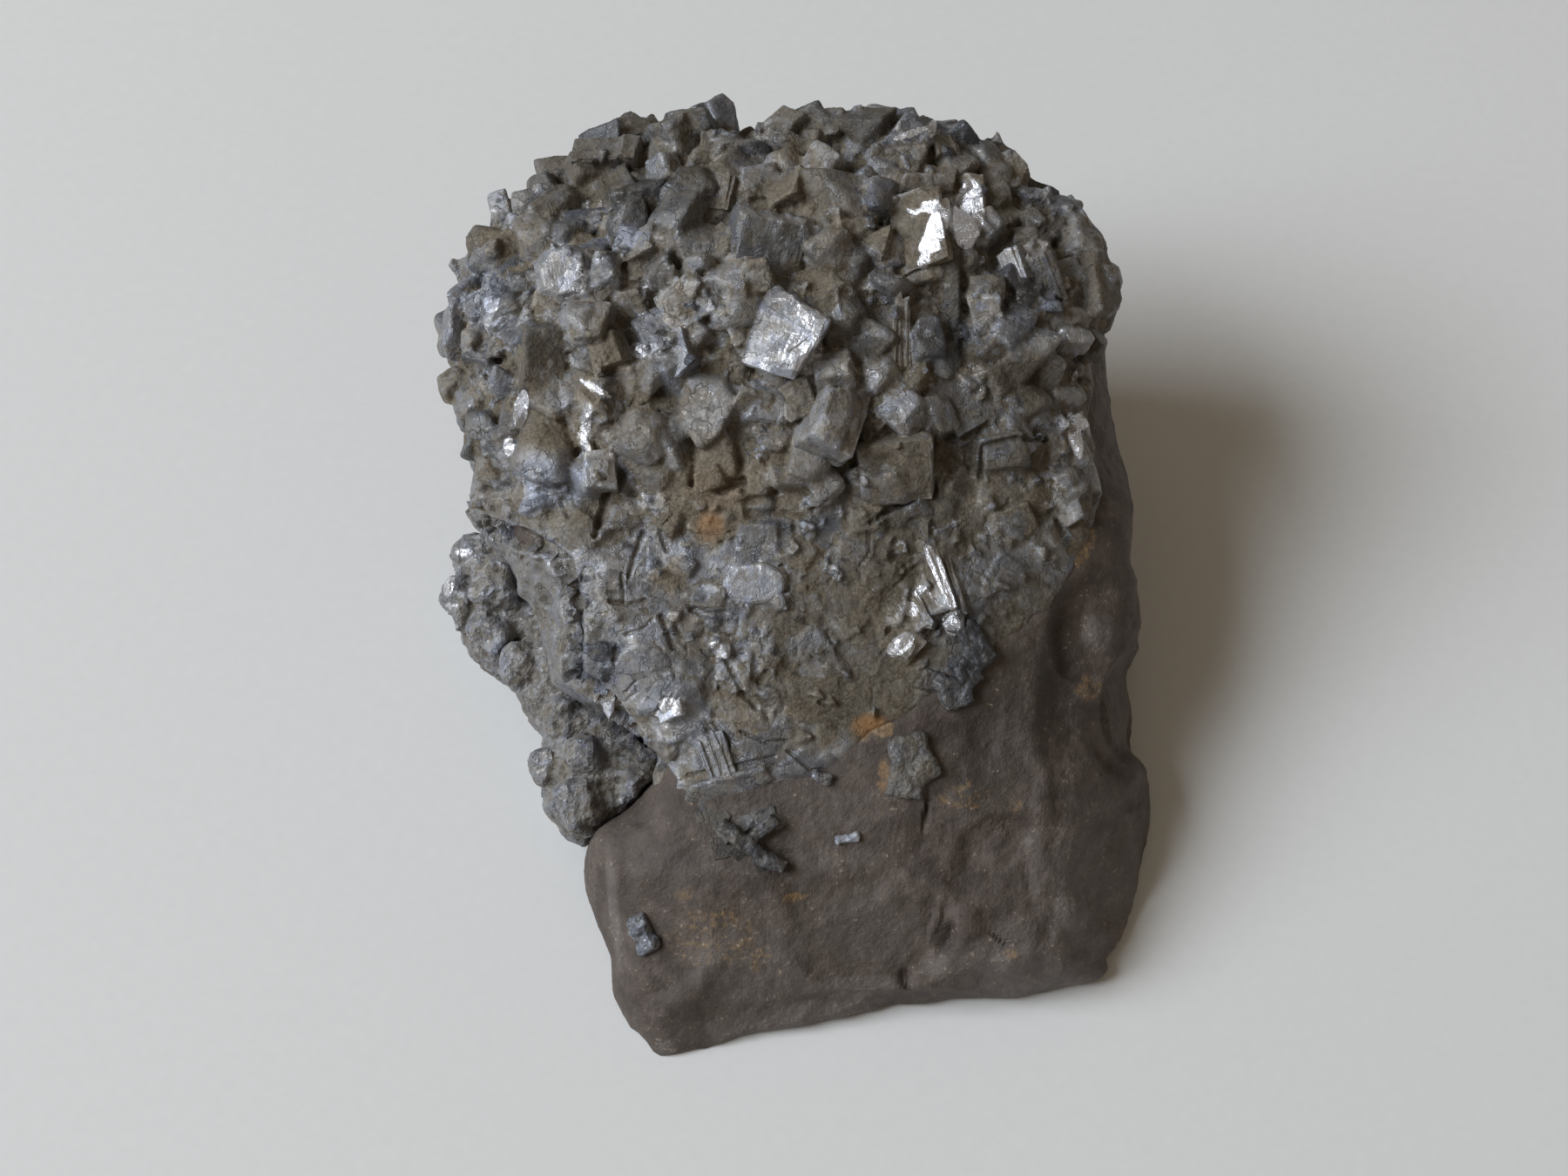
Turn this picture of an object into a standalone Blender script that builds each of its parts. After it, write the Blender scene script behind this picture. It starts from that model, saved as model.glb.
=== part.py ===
"""Crystal druse on a matrix rock, a hand specimen about 104 mm deep.

A wedge of brown matrix stands on a flat cut. Its sloping front face carries a crust of grown-together
galena crystals, which hangs over the top edge and the left flank. Two lower lobes of the same crystals
sit on the left flank, and a few loose patches and flakes of crystal sit on the bare brown face.

The shapes are worked out in millimetres and scaled to metres as each piece is finished. The origin is
at the middle of the specimen's footprint, on the surface that it rests on.
"""
import math
import random

import bmesh
import bpy
import numpy as np
from mathutils import Matrix, Vector
from mathutils.bvhtree import BVHTree

MM = 0.001

# The sloping face, and the point it is laid out from. Places on the crust are given as (across, up) in
# millimetres on a plane through FACE_CENTRE, drawn as seen from a point square in front of that plane.
FACE_LEAN = math.radians(60.0)          # how far the face's normal stands above the horizontal
FACE_CENTRE = Vector((0.0, 0.0, 32.2))
SIGHT_DISTANCE = 247.3
ACROSS = Vector((1.0, 0.0, 0.0))
UP_FACE = Vector((0.0, math.sin(FACE_LEAN), math.cos(FACE_LEAN)))
OUT_OF_FACE = Vector((0.0, -math.cos(FACE_LEAN), math.sin(FACE_LEAN)))
SIGHT = FACE_CENTRE + SIGHT_DISTANCE * OUT_OF_FACE

CENTRING = Vector((-0.8, -8.6, 0.0))    # moves the footprint's middle to the origin

# Matrix rock.
ROCK_FACET = 4.5                        # edge of the grid that the rock is faceted on
ROCK_SOFTENING = 3                      # rounds of smoothing that wear its corners
FOOT_DEPTH = 9.0                        # how far the corners run on below the flat cut
FOOT = [                                # corners round the foot, at the height of the cut
    (-13.5, -46.5), (3.0, -42.0), (14.0, -38.8), (28.0, -37.0), (38.0, -36.5), (43.5, -28.0),
    (46.5, -13.0), (46.8, 2.0), (45.5, 16.0), (42.5, 32.0), (36.0, 44.0), (20.0, 51.5),
    (-4.0, 50.0), (-21.0, 45.5), (-30.0, 38.0), (-33.0, 26.0), (-30.0, 8.0), (-24.0, -12.0),
    (-23.0, -29.0), (-19.0, -39.5),
]
SHOULDERS = [                           # corners above the foot, with their height
    (-12.5, -41.0, 9.0), (10.0, -37.5, 11.0), (33.0, -35.8, 11.0), (42.0, -16.0, 11.5),
    (-20.5, -29.0, 11.0), (42.5, 8.0, 25.0), (43.5, 27.0, 24.0), (-25.5, -12.0, 23.0),
    (-37.0, 14.0, 24.0), (-40.5, 24.0, 31.0), (-43.0, 34.0, 37.0), (-39.5, 45.5, 39.5),
    (-30.5, 54.0, 43.5), (-17.0, 57.5, 47.5), (-2.0, 55.5, 49.5), (11.0, 57.5, 52.0),
    (26.5, 53.0, 47.0), (37.0, 46.0, 42.0), (41.0, 43.0, 37.0), (41.0, 37.0, 33.0),
    (0.0, 33.0, 50.5), (-26.0, 31.0, 45.0), (26.0, 31.0, 45.5), (6.0, 58.0, 24.0),
    (30.0, 52.0, 20.0), (-24.0, 53.5, 30.0), (-36.0, 43.0, 18.0), (40.0, 41.0, 14.0),
]
# Two bays in the left flank, cut along the sight line: across, up, half width, half height, and how
# deep behind the face plane each one ends.
BAYS = [(-35.0, -4.0, 11.5, 8.5, -31.0), (-27.5, -20.0, 15.0, 9.0, -26.0)]
# Each dent is a place on the outside (x, y, z), its radius and its depth; a negative depth is a bump.
DENTS = [
    (4.0, -36.0, 9.0, 11.0, 1.6),       # conchoidal chip low on the front
    (45.0, -8.0, 4.0, 6.0, 2.2),        # groove low on the right flank
    (13.0, -40.0, 2.0, 5.0, 1.8),       # notch in the front edge
    (-4.5, -45.0, 1.0, 7.0, 1.6),       # and a shallow one beside the tip
    (30.0, -36.0, 8.0, 8.0, -1.6),      # knobs at the lower right
    (22.0, -37.0, 3.0, 5.0, -1.0),
    (-3.0, 57.0, 50.0, 9.0, 4.0),       # saddle between the two domes of the top edge
    (45.0, 12.0, 12.0, 16.0, 2.4),      # broad breaks on the right flank and the back
    (44.0, 36.0, 8.0, 13.0, 2.0),
    (16.0, 57.0, 14.0, 20.0, 3.5),
    (-16.0, 54.0, 12.0, 17.0, 3.0),
    (-36.0, 34.0, 10.0, 14.0, 2.5),
]

# Crust of crystals. Its lower edge on the face, from left to right, as (across, up).
CRUST_EDGE = [
    (-60.0, 3.0), (-36.0, 4.0), (-30.0, 4.5), (-25.0, -1.0), (-24.0, -10.0), (-20.5, -12.0),
    (-14.0, -21.0), (-7.0, -22.0), (4.0, -20.5), (10.0, -16.0), (15.0, -13.5), (18.0, -10.0),
    (22.0, -8.0), (30.5, -1.5), (35.5, 7.5), (36.2, 27.0), (39.0, 32.0), (60.0, 34.0),
]
CRUST_TURNS_BACK = -24.0                # how deep behind the face plane it ends, on the back and left
CRUST_EDGE_WAVE = 2.5
CRUST_THIN = 1.5                        # thickness at its edge
CRUST_THICK = 6.0                       # thickness where it is full
CRUST_THICK_LOW = 3.0                   # the same, low on the face
CRUST_TAPER = 13.0                      # width of the strip over which it thins out
GAP = 0.3                               # clearance between pieces that touch
SINK = 1.2                              # how far a raw crust or crystal reaches into the rock before it is cut

# Main crystals of the crust: across, up, width, length, spin on the face and lean, in degrees.
CRYSTALS = [
    (-25.9, 47.2, 4.7, 3.8, 10, 20), (-19.8, 50.4, 7.5, 3.6, 8, -15), (-20.0, 49.0, 7.5, 3.8, -4, 12),
    (-18.2, 44.8, 5.6, 6.4, -25, 14), (-22.5, 41.3, 4.2, 4.0, 30, -10), (-26.4, 41.2, 3.6, 3.0, 5, 15),
    (-25.3, 35.9, 6.6, 6.0, 12, -6), (-20.3, 36.0, 4.0, 5.2, -12, 16), (-33.4, 41.5, 4.8, 4.8, 35, 10),
    (-35.3, 36.5, 4.4, 4.6, 15, -14), (-31.6, 36.0, 3.6, 3.6, 50, 12), (-29.4, 43.5, 4.4, 4.4, 20, 18),
    (-10.8, 51.0, 5.6, 4.6, 5, 14), (-15.6, 51.0, 4.2, 4.0, 40, -12), (-6.2, 50.9, 4.4, 4.0, -20, 10),
    (-0.6, 50.8, 5.2, 4.6, 12, -10), (3.0, 51.6, 4.8, 4.2, 30, 12), (1.2, 49.4, 9.0, 3.6, 38, 8),
    (-10.6, 44.0, 5.6, 7.4, -6, 12), (-1.0, 39.2, 8.8, 5.2, -12, -10), (4.6, 45.2, 8.8, 6.2, -14, 16),
    (6.8, 36.2, 6.6, 6.6, -35, 12), (-6.2, 34.5, 2.8, 2.8, 45, 20), (-10.0, 37.4, 4.2, 4.2, 20, -14),
    (10.4, 51.8, 5.0, 4.2, 0, 14), (14.6, 49.6, 5.2, 5.4, 4, 10), (19.4, 50.2, 7.8, 6.4, -35, 12),
    (24.4, 46.0, 4.8, 5.6, -20, -12), (15.6, 41.0, 6.2, 8.0, -12, -8), (21.2, 42.9, 4.2, 7.0, 8, -10),
    (11.6, 38.4, 3.8, 4.2, 40, 14), (28.6, 42.2, 5.2, 5.2, 30, 12), (32.0, 42.6, 4.6, 4.6, 10, -12),
    (28.5, 38.6, 4.0, 4.0, 50, 10), (35.4, 36.4, 4.6, 8.6, -4, 6), (32.2, 34.8, 4.2, 6.2, 20, -10),
    (29.8, 32.7, 3.4, 3.6, 35, 14), (32.8, 30.6, 5.4, 3.2, 8, 10), (33.4, 27.6, 4.2, 3.4, -10, -12),
    (25.6, 29.6, 4.0, 4.2, 30, 14), (28.0, 26.6, 6.6, 3.6, 32, 8), (16.0, 27.6, 4.4, 6.2, 15, -14),
    (-32.2, 30.4, 4.0, 3.4, 20, 10), (-36.6, 30.6, 4.4, 6.0, -8, 12), (-27.4, 26.0, 5.4, 7.8, 10, -12),
    (-24.2, 29.4, 3.4, 7.6, 32, 12), (-21.0, 30.2, 4.2, 5.2, -8, 10), (-21.2, 21.0, 3.8, 3.8, 45, 18),
    (-20.2, 18.2, 3.8, 4.6, 0, -10), (-16.0, 17.6, 5.8, 5.6, 15, 6), (0.2, 29.0, 8.2, 7.6, 8, -8),
    (-8.4, 22.4, 6.4, 7.2, -28, 14), (-12.2, 23.6, 4.4, 7.2, -28, -10), (5.8, 20.6, 6.0, 8.8, 30, 10),
    (-8.5, 12.5, 3.4, 3.0, 10, 12), (-2.8, 12.8, 3.0, 3.8, -15, 14), (20.6, 21.4, 5.4, 7.6, 28, 12),
    (11.2, 23.2, 3.0, 3.0, 45, 10), (32.0, 10.4, 3.8, 5.4, 12, 8), (27.5, 15.0, 4.8, 4.8, 30, 10),
    (-3.8, 0.2, 7.6, 5.4, -6, -6), (17.4, 1.0, 5.8, 8.0, 8, 6), (13.8, -6.2, 4.0, 4.0, 30, 8),
    (-16.0, -7.2, 5.2, 4.2, 10, 8), (-5.0, -9.2, 3.0, 4.8, 0, 10), (-0.8, -7.8, 3.4, 5.6, 8, 8),
    (-21.6, -8.0, 4.2, 4.4, 20, 10), (-13.8, -12.4, 7.8, 6.8, -12, 5), (-9.4, -18.0, 5.2, 5.4, 25, 8),
    (-22.0, 4.0, 5.6, 6.2, 18, -8), (-30.0, 16.5, 6.4, 6.4, 25, 8), (-33.6, 22.5, 5.2, 5.6, -15, 10),
    (-29.0, 9.5, 5.6, 5.2, 10, 10), (9.0, 9.6, 6.0, 4.6, 15, 8), (18.5, 12.6, 6.2, 5.0, -20, 10),
]
CRYSTAL_DEPTH = 0.85                    # a crystal's depth, as a share of its mean width
CRYSTAL_TAPER = 0.86                    # its top face against its foot
CRYSTAL_STANDS = 0.10                   # how far its middle stands above the crust, in widths

# Crystals over the back edge, which the same rule scatters along it: places as (x, z), looking from behind.
BACK_CRYSTALS = [
    (-30.0, 37.0), (-24.0, 43.0), (-17.0, 36.0), (-10.0, 44.0), (-2.0, 38.0), (5.0, 46.0), (12.0, 39.0),
    (19.0, 46.0), (26.0, 38.0), (33.0, 33.0), (-34.0, 30.0),
]
BACK_CRYSTAL_SIZE = (4.2, 6.4)

# Lobed druse low on the left flank, in the bays: each lobe's middle, its three radii, and how many
# crystals stud it.
LOBES = [
    {"middle": (-32.5, 12.0, 5.5), "radii": (9.5, 10.5, 9.5), "crystals": 13},
    {"middle": (-25.5, 1.5, 6.0), "radii": (8.0, 9.5, 9.5), "crystals": 7},
    {"middle": (-19.8, -10.5, 5.0), "radii": (11.0, 11.5, 9.0), "crystals": 14},
]
LOBE_CRYSTAL_SIZE = (3.4, 5.4)

# Patches of crystal on the bare face: node name, then its blocks as across, up, width, length, proud, spin.
PATCHES = {
    "crystal_patch_front": [
        (-5.2, -28.6, 6.0, 1.8, 1.0, -38), (-3.4, -30.0, 6.6, 1.8, 1.2, -32), (-2.4, -27.6, 4.4, 1.6, 1.0, 40),
        (-1.6, -31.4, 4.4, 1.8, 0.9, -20),
    ],
    "crystal_patch_right": [
        (14.4, -18.8, 5.4, 4.6, 1.0, 12), (14.0, -22.2, 5.0, 4.4, 0.9, -8), (16.2, -20.4, 3.2, 4.0, 1.1, 30),
    ],
    "crystal_patch_upper_right": [
        (21.6, -6.8, 3.2, 6.2, 1.6, 34), (19.6, -12.0, 4.2, 4.0, 1.4, 20), (23.4, -3.6, 2.6, 4.2, 1.4, 20),
        (16.6, -10.6, 4.0, 2.6, 1.0, -10), (20.6, -9.6, 2.6, 4.6, 1.2, 40),
    ],
    "crystal_flake_pale": [(7.2, -28.8, 3.2, 1.2, 0.6, 8)],
    "crystal_flake_left": [(-15.8, -39.6, 3.0, 4.8, 0.6, 32)],
    "crystal_flake_arc": [(4.4, -21.6, 2.8, 1.4, 0.6, -20)],
}

GALENA = {"color": (0.115, 0.117, 0.122, 1.0), "roughness": 0.45, "metallic": 0.75}
ROCK = {"color": (0.080, 0.064, 0.052, 1.0), "roughness": 0.85, "metallic": 0.0}


def clear_scene():
    for item in list(bpy.data.objects):
        bpy.data.objects.remove(item, do_unlink=True)


def make_material(name, look):
    material = bpy.data.materials.new(name)
    material.use_nodes = True
    shader = material.node_tree.nodes["Principled BSDF"]
    shader.inputs["Base Color"].default_value = look["color"]
    shader.inputs["Roughness"].default_value = look["roughness"]
    shader.inputs["Metallic"].default_value = look["metallic"]
    return material


def object_from(name, shape):
    """Turn a bmesh into an object of the scene, and free the bmesh."""
    mesh = bpy.data.meshes.new(name)
    shape.to_mesh(mesh)
    shape.free()
    item = bpy.data.objects.new(name, mesh)
    bpy.context.collection.objects.link(item)
    return item


def apply_modifiers(item):
    """Replace an object's mesh by what its modifiers make of it."""
    graph = bpy.context.evaluated_depsgraph_get()
    shaped = bpy.data.meshes.new_from_object(item.evaluated_get(graph))
    item.modifiers.clear()
    item.data = shaped


def combine(item, operation, others):
    """Boolean of an object with several others, which are then removed.

    Unions are exact. A cut uses the manifold solver, because the exact one loses the whole crust.
    """
    group = bpy.data.collections.new(item.name + "_" + operation.lower())
    bpy.context.scene.collection.children.link(group)
    for other in others:
        for home in list(other.users_collection):
            home.objects.unlink(other)
        group.objects.link(other)
    boolean = item.modifiers.new(operation.lower(), "BOOLEAN")
    boolean.operation = operation
    boolean.operand_type = "COLLECTION"
    boolean.collection = group
    boolean.solver = "EXACT" if operation == "UNION" else "MANIFOLD"
    apply_modifiers(item)
    for other in others:
        bpy.data.objects.remove(other, do_unlink=True)
    bpy.data.collections.remove(group)


def cut_flat(item, height=0.0):
    """Cut everything below a height away, and close the cut with a flat face."""
    shape = bmesh.new()
    shape.from_mesh(item.data)
    parts = shape.verts[:] + shape.edges[:] + shape.faces[:]
    bmesh.ops.bisect_plane(shape, geom=parts, dist=1e-5, plane_co=(0, 0, height), plane_no=(0, 0, 1),
                           clear_inner=True)
    rim = [edge for edge in shape.edges if edge.is_boundary]
    bmesh.ops.holes_fill(shape, edges=rim, sides=0)
    bmesh.ops.recalc_face_normals(shape, faces=shape.faces)
    shape.to_mesh(item.data)
    shape.free()


def triangulate(item):
    shape = bmesh.new()
    shape.from_mesh(item.data)
    bmesh.ops.triangulate(shape, faces=shape.faces)
    shape.to_mesh(item.data)
    shape.free()


def keep_largest_body(item):
    """Drop the crumbs that a Boolean leaves."""
    shape = bmesh.new()
    shape.from_mesh(item.data)
    unseen = set(shape.verts)
    bodies = []
    while unseen:
        body = {unseen.pop()}
        edge_of_body = list(body)
        while edge_of_body:
            vertex = edge_of_body.pop()
            for edge in vertex.link_edges:
                other = edge.other_vert(vertex)
                if other in unseen:
                    unseen.remove(other)
                    body.add(other)
                    edge_of_body.append(other)
        bodies.append(body)
    bodies.sort(key=len)
    for body in bodies[:-1]:
        bmesh.ops.delete(shape, geom=list(body), context="VERTS")
    shape.to_mesh(item.data)
    shape.free()


def face_coordinates(points):
    """Split points (rows of x, y, z) into across, up and out-of-face, drawn from the sighting point."""
    offset = points - np.array(FACE_CENTRE)
    out = offset @ np.array(OUT_OF_FACE)
    nearness = 1.0 - out / SIGHT_DISTANCE
    return offset @ np.array(ACROSS) / nearness, offset @ np.array(UP_FACE) / nearness, out


def sight_line(across, up):
    target = FACE_CENTRE + ACROSS * across + UP_FACE * up
    return SIGHT, (target - SIGHT).normalized()


def smooth_step(value):
    value = np.clip(value, 0.0, 1.0)
    return value * value * (3.0 - 2.0 * value)


def depth_inside_crust(points):
    """Distance from the crust's edge, positive inside the crust."""
    across, up, out = face_coordinates(points)
    corners = np.array(CRUST_EDGE)
    nearest = np.full(len(points), 1e9)
    for start, end in zip(corners[:-1], corners[1:]):
        run = end - start
        share = ((across - start[0]) * run[0] + (up - start[1]) * run[1]) / (run @ run)
        share = np.clip(share, 0.0, 1.0)
        distance = np.hypot(across - start[0] - share * run[0], up - start[1] - share * run[1])
        nearest = np.minimum(nearest, distance)
    above = up > np.interp(across, corners[:, 0], corners[:, 1])
    on_face = np.where(above, nearest, -nearest)
    wave = CRUST_EDGE_WAVE * (np.sin(across / 5.3) + np.sin(across / 2.9 + 1.0)) / 2.0
    behind = out - (CRUST_TURNS_BACK + wave)
    return np.minimum(on_face, behind)


def crust_thickness(points):
    up = face_coordinates(points)[1]
    full = CRUST_THICK_LOW + (CRUST_THICK - CRUST_THICK_LOW) * smooth_step((up + 5.0) / 30.0)
    share = smooth_step(depth_inside_crust(points) / CRUST_TAPER)
    return CRUST_THIN + (full - CRUST_THIN) * share, full * share


def mesh_points(mesh):
    points = np.empty(len(mesh.vertices) * 3, dtype=np.float32)
    mesh.vertices.foreach_get("co", points)
    return points.reshape(-1, 3).astype(float)


def mesh_normals(mesh):
    normals = np.empty(len(mesh.vertices) * 3, dtype=np.float32)
    mesh.vertex_normals.foreach_get("vector", normals)
    return normals.reshape(-1, 3).astype(float)


def set_points(mesh, points):
    mesh.vertices.foreach_set("co", points.astype(np.float32).ravel())
    mesh.update()


def make_bay(across, up, half_width, half_height, end):
    """The post that a bay is cut with: an elliptical one along the sight line."""
    origin, direction = sight_line(across, up)
    length = 60.0
    middle = origin + direction * (SIGHT_DISTANCE - end - length / 2.0)
    shape = bmesh.new()
    bmesh.ops.create_cone(shape, cap_ends=True, segments=20, radius1=1.0, radius2=1.0, depth=length)
    out = -direction
    along = (ACROSS - out * ACROSS.dot(out)).normalized()
    axes = Matrix((along, out.cross(along), out)).transposed().to_4x4()
    stretch = Matrix.Diagonal((half_width, half_height, 1.0, 1.0))
    bmesh.ops.transform(shape, matrix=Matrix.Translation(middle) @ axes @ stretch, verts=shape.verts)
    return object_from("bay_cutter", shape)


def make_rock():
    """The matrix: a worn wedge, hollowed on the left, with a flat foot and a bed for the crust."""
    shape = bmesh.new()
    for x, y in FOOT:
        shape.verts.new((x, y, 0.0))
        shape.verts.new((x, y, -FOOT_DEPTH))
    for corner in SHOULDERS:
        shape.verts.new(corner)
    hull = bmesh.ops.convex_hull(shape, input=shape.verts)
    spare = {v for v in hull["geom_interior"] + hull["geom_unused"] if isinstance(v, bmesh.types.BMVert)}
    bmesh.ops.delete(shape, geom=list(spare), context="VERTS")
    rock = object_from("matrix_rock", shape)
    combine(rock, "DIFFERENCE", [make_bay(*bay) for bay in BAYS])
    remesh = rock.modifiers.new("facets", "REMESH")
    remesh.mode = "VOXEL"
    remesh.voxel_size = ROCK_FACET
    soften = rock.modifiers.new("wear", "SMOOTH")
    soften.factor = 0.5
    soften.iterations = ROCK_SOFTENING
    apply_modifiers(rock)
    points = mesh_points(rock.data)
    normals = mesh_normals(rock.data)
    push = np.zeros(len(points))
    for x, y, z, radius, depth in DENTS:
        near = np.linalg.norm(points - np.array((x, y, z)), axis=1) / radius
        push -= depth * smooth_step(1.0 - near)
    push -= crust_thickness(points)[1]
    set_points(rock.data, points + normals * push[:, None])
    triangulate(rock)
    return rock


def grow(rock, name, distance):
    """A copy of a mesh with its surface moved outwards."""
    item = bpy.data.objects.new(name, rock.data.copy())
    bpy.context.collection.objects.link(item)
    set_points(item.data, mesh_points(item.data) + mesh_normals(item.data) * distance)
    return item


def make_crust_bed(rock):
    """The layer that the crystals grew from: it follows the rock, and reaches into it until it is cut."""
    points = mesh_points(rock.data)
    normals = mesh_normals(rock.data)
    inside = depth_inside_crust(points) > 0.0
    thickness = crust_thickness(points)[0] + GAP
    shape = bmesh.new()
    shape.from_mesh(rock.data)
    shape.verts.ensure_lookup_table()
    outside = [face for face in shape.faces if not all(inside[v.index] for v in face.verts)]
    lift = {v: Vector(normals[v.index]) * thickness[v.index] for v in shape.verts}
    sunk = {v: Vector(normals[v.index]) * -SINK for v in shape.verts}
    bmesh.ops.delete(shape, geom=outside, context="FACES")
    top_faces = shape.faces[:]
    base = bmesh.ops.duplicate(shape, geom=shape.verts[:] + shape.edges[:] + top_faces)
    twins = {old: new for old, new in base["vert_map"].items() if isinstance(old, bmesh.types.BMVert)}
    lower_faces = [face for face in base["geom"] if isinstance(face, bmesh.types.BMFace)]
    top_verts = {v for face in top_faces for v in face.verts}
    rim = [edge for face in top_faces for edge in face.edges if edge.is_boundary]
    for edge in set(rim):
        first, second = edge.link_loops[0].vert, edge.link_loops[0].link_loop_next.vert
        shape.faces.new((second, first, twins[first], twins[second]))
    for vertex in top_verts:
        twins[vertex].co += sunk[vertex]
        vertex.co += lift[vertex]
    bmesh.ops.reverse_faces(shape, faces=lower_faces)
    bmesh.ops.triangulate(shape, faces=shape.faces)
    return object_from("galena_crust", shape)


def surface_frame(tree, origin, direction):
    """Where a line meets a surface, and the axes there: along, across and out of the surface."""
    place, normal, _, _ = tree.ray_cast(origin, direction)
    if place is None:
        return None
    along = (ACROSS - normal * ACROSS.dot(normal)).normalized()
    return place, along, normal.cross(along), normal


def make_block(name, frame, size, spin, lean, stands):
    """One crystal: a tapered block that stands on a surface frame, turned by spin and leaned over."""
    place, along, beside, out = frame
    width, length, depth = size
    shape = bmesh.new()
    bmesh.ops.create_cube(shape, size=1.0)
    for vertex in shape.verts:
        taper = CRYSTAL_TAPER if vertex.co.z > 0 else 1.0
        vertex.co.x *= width * taper
        vertex.co.y *= length * taper
        vertex.co.z *= depth
    axes = Matrix((along, beside, out)).transposed().to_4x4()
    turned = Matrix.Rotation(math.radians(spin), 4, "Z") @ Matrix.Rotation(math.radians(lean), 4, "X")
    middle = Matrix.Translation(place + out * stands)
    bmesh.ops.transform(shape, matrix=middle @ axes @ turned, verts=shape.verts)
    return object_from(name, shape)


def make_crust(rock):
    """The main druse: its bed and all the crystals that stand on it, grown together."""
    crust = make_crust_bed(rock)
    tree = BVHTree.FromObject(crust, bpy.context.evaluated_depsgraph_get())
    crystals = []
    for across, up, width, length, spin, lean in CRYSTALS:
        frame = surface_frame(tree, *sight_line(across, up))
        if frame is None:
            print("no crust under the crystal at", across, up)
            continue
        mean = (width + length) / 2.0
        size = (width, length, mean * CRYSTAL_DEPTH)
        crystals.append(make_block("crystal", frame, size, spin, lean, mean * CRYSTAL_STANDS))
    draw = random.Random(5)
    for x, z in BACK_CRYSTALS:
        frame = surface_frame(tree, Vector((x, 120.0, z)), Vector((0.0, -1.0, 0.0)))
        if frame is None:
            print("no crust under the back crystal at", x, z)
            continue
        width = draw.uniform(*BACK_CRYSTAL_SIZE)
        size = (width, width * draw.uniform(0.8, 1.2), width * CRYSTAL_DEPTH)
        spin = draw.uniform(0, 90)
        crystals.append(make_block("crystal", frame, size, spin, draw.uniform(-15, 15), width * 0.1))
    combine(crust, "UNION", crystals)
    return crust


def make_flank_druse():
    """The lobes low on the left flank: lumps run together, studded on a spiral of directions."""
    draw = random.Random(11)
    golden = math.pi * (3.0 - math.sqrt(5.0))
    lumps = []
    crystals = []
    for lobe in LOBES:
        shape = bmesh.new()
        bmesh.ops.create_icosphere(shape, subdivisions=2, radius=1.0)
        bmesh.ops.scale(shape, vec=lobe["radii"], verts=shape.verts)
        bmesh.ops.translate(shape, vec=lobe["middle"], verts=shape.verts)
        lump = object_from("galena_flank_druse", shape)
        tree = BVHTree.FromObject(lump, bpy.context.evaluated_depsgraph_get())
        middle = Vector(lobe["middle"])
        lumps.append(lump)
        for count in range(lobe["crystals"]):
            rise = 0.05 + 0.9 * (count + 0.5) / lobe["crystals"]
            spread = math.sqrt(1.0 - rise * rise)
            direction = Vector((spread * math.cos(golden * count), spread * math.sin(golden * count), rise))
            frame = surface_frame(tree, middle + direction * 60.0, -direction)
            width = draw.uniform(*LOBE_CRYSTAL_SIZE)
            size = (width, width * draw.uniform(0.8, 1.2), width * CRYSTAL_DEPTH)
            spin = draw.uniform(0, 90)
            crystals.append(make_block("crystal", frame, size, spin, draw.uniform(-20, 20), 0.3))
    druse = lumps[0]
    combine(druse, "UNION", lumps[1:] + crystals)
    return druse


def make_patch(name, rock_tree, blocks):
    """Crystals that stand apart from the crust, on the bare rock."""
    pieces = []
    for across, up, width, length, proud, spin in blocks:
        frame = surface_frame(rock_tree, *sight_line(across, up))
        size = (width, length, 2.0 * proud + 2.0)
        pieces.append(make_block(name, frame, size, spin, 0.0, 0.0))
    patch = pieces[0]
    patch.name = name
    if len(pieces) > 1:
        combine(patch, "UNION", pieces[1:])
    return patch


def finish(item, material):
    """Centre and scale a finished piece, and give it its material."""
    triangulate(item)
    set_points(item.data, (mesh_points(item.data) + np.array(CENTRING)) * MM)
    item.data.materials.clear()
    item.data.materials.append(material)


def build():
    clear_scene()
    galena = make_material("galena", GALENA)
    brown = make_material("brown_matrix", ROCK)
    rock = make_rock()
    crystal_parts = [make_crust(rock)]
    crystal_parts.append(make_flank_druse())
    rock_tree = BVHTree.FromObject(rock, bpy.context.evaluated_depsgraph_get())
    for name, blocks in PATCHES.items():
        crystal_parts.append(make_patch(name, rock_tree, blocks))
    for number, part in enumerate(crystal_parts):
        cutters = [grow(rock, "rock_cutter", GAP)]
        if number > 0:
            cutters.append(grow(crystal_parts[0], "crust_cutter", GAP))
        combine(part, "DIFFERENCE", cutters)
        keep_largest_body(part)
        cut_flat(part)
    cut_flat(rock)
    finish(rock, brown)
    for part in crystal_parts:
        finish(part, galena)


build()
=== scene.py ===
# %% [markdown]
# # A druse of grey crystals on a brown rock
# A hand specimen: a wedge of worn brown rock whose sloping face is covered by a crust of lead-grey
# crystals, grown together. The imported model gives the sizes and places. This script gives the looks: it
# replaces each plain solid by a finer one, and paints it. Everything is modelled in millimetres, because
# many of Blender's limits suit things metres across, and each piece is scaled to metres when it is done.

import math
import random

import bpy
import numpy as np
from mathutils import Matrix, Vector
from mathutils.bvhtree import BVHTree
from mathutils.kdtree import KDTree


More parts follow.
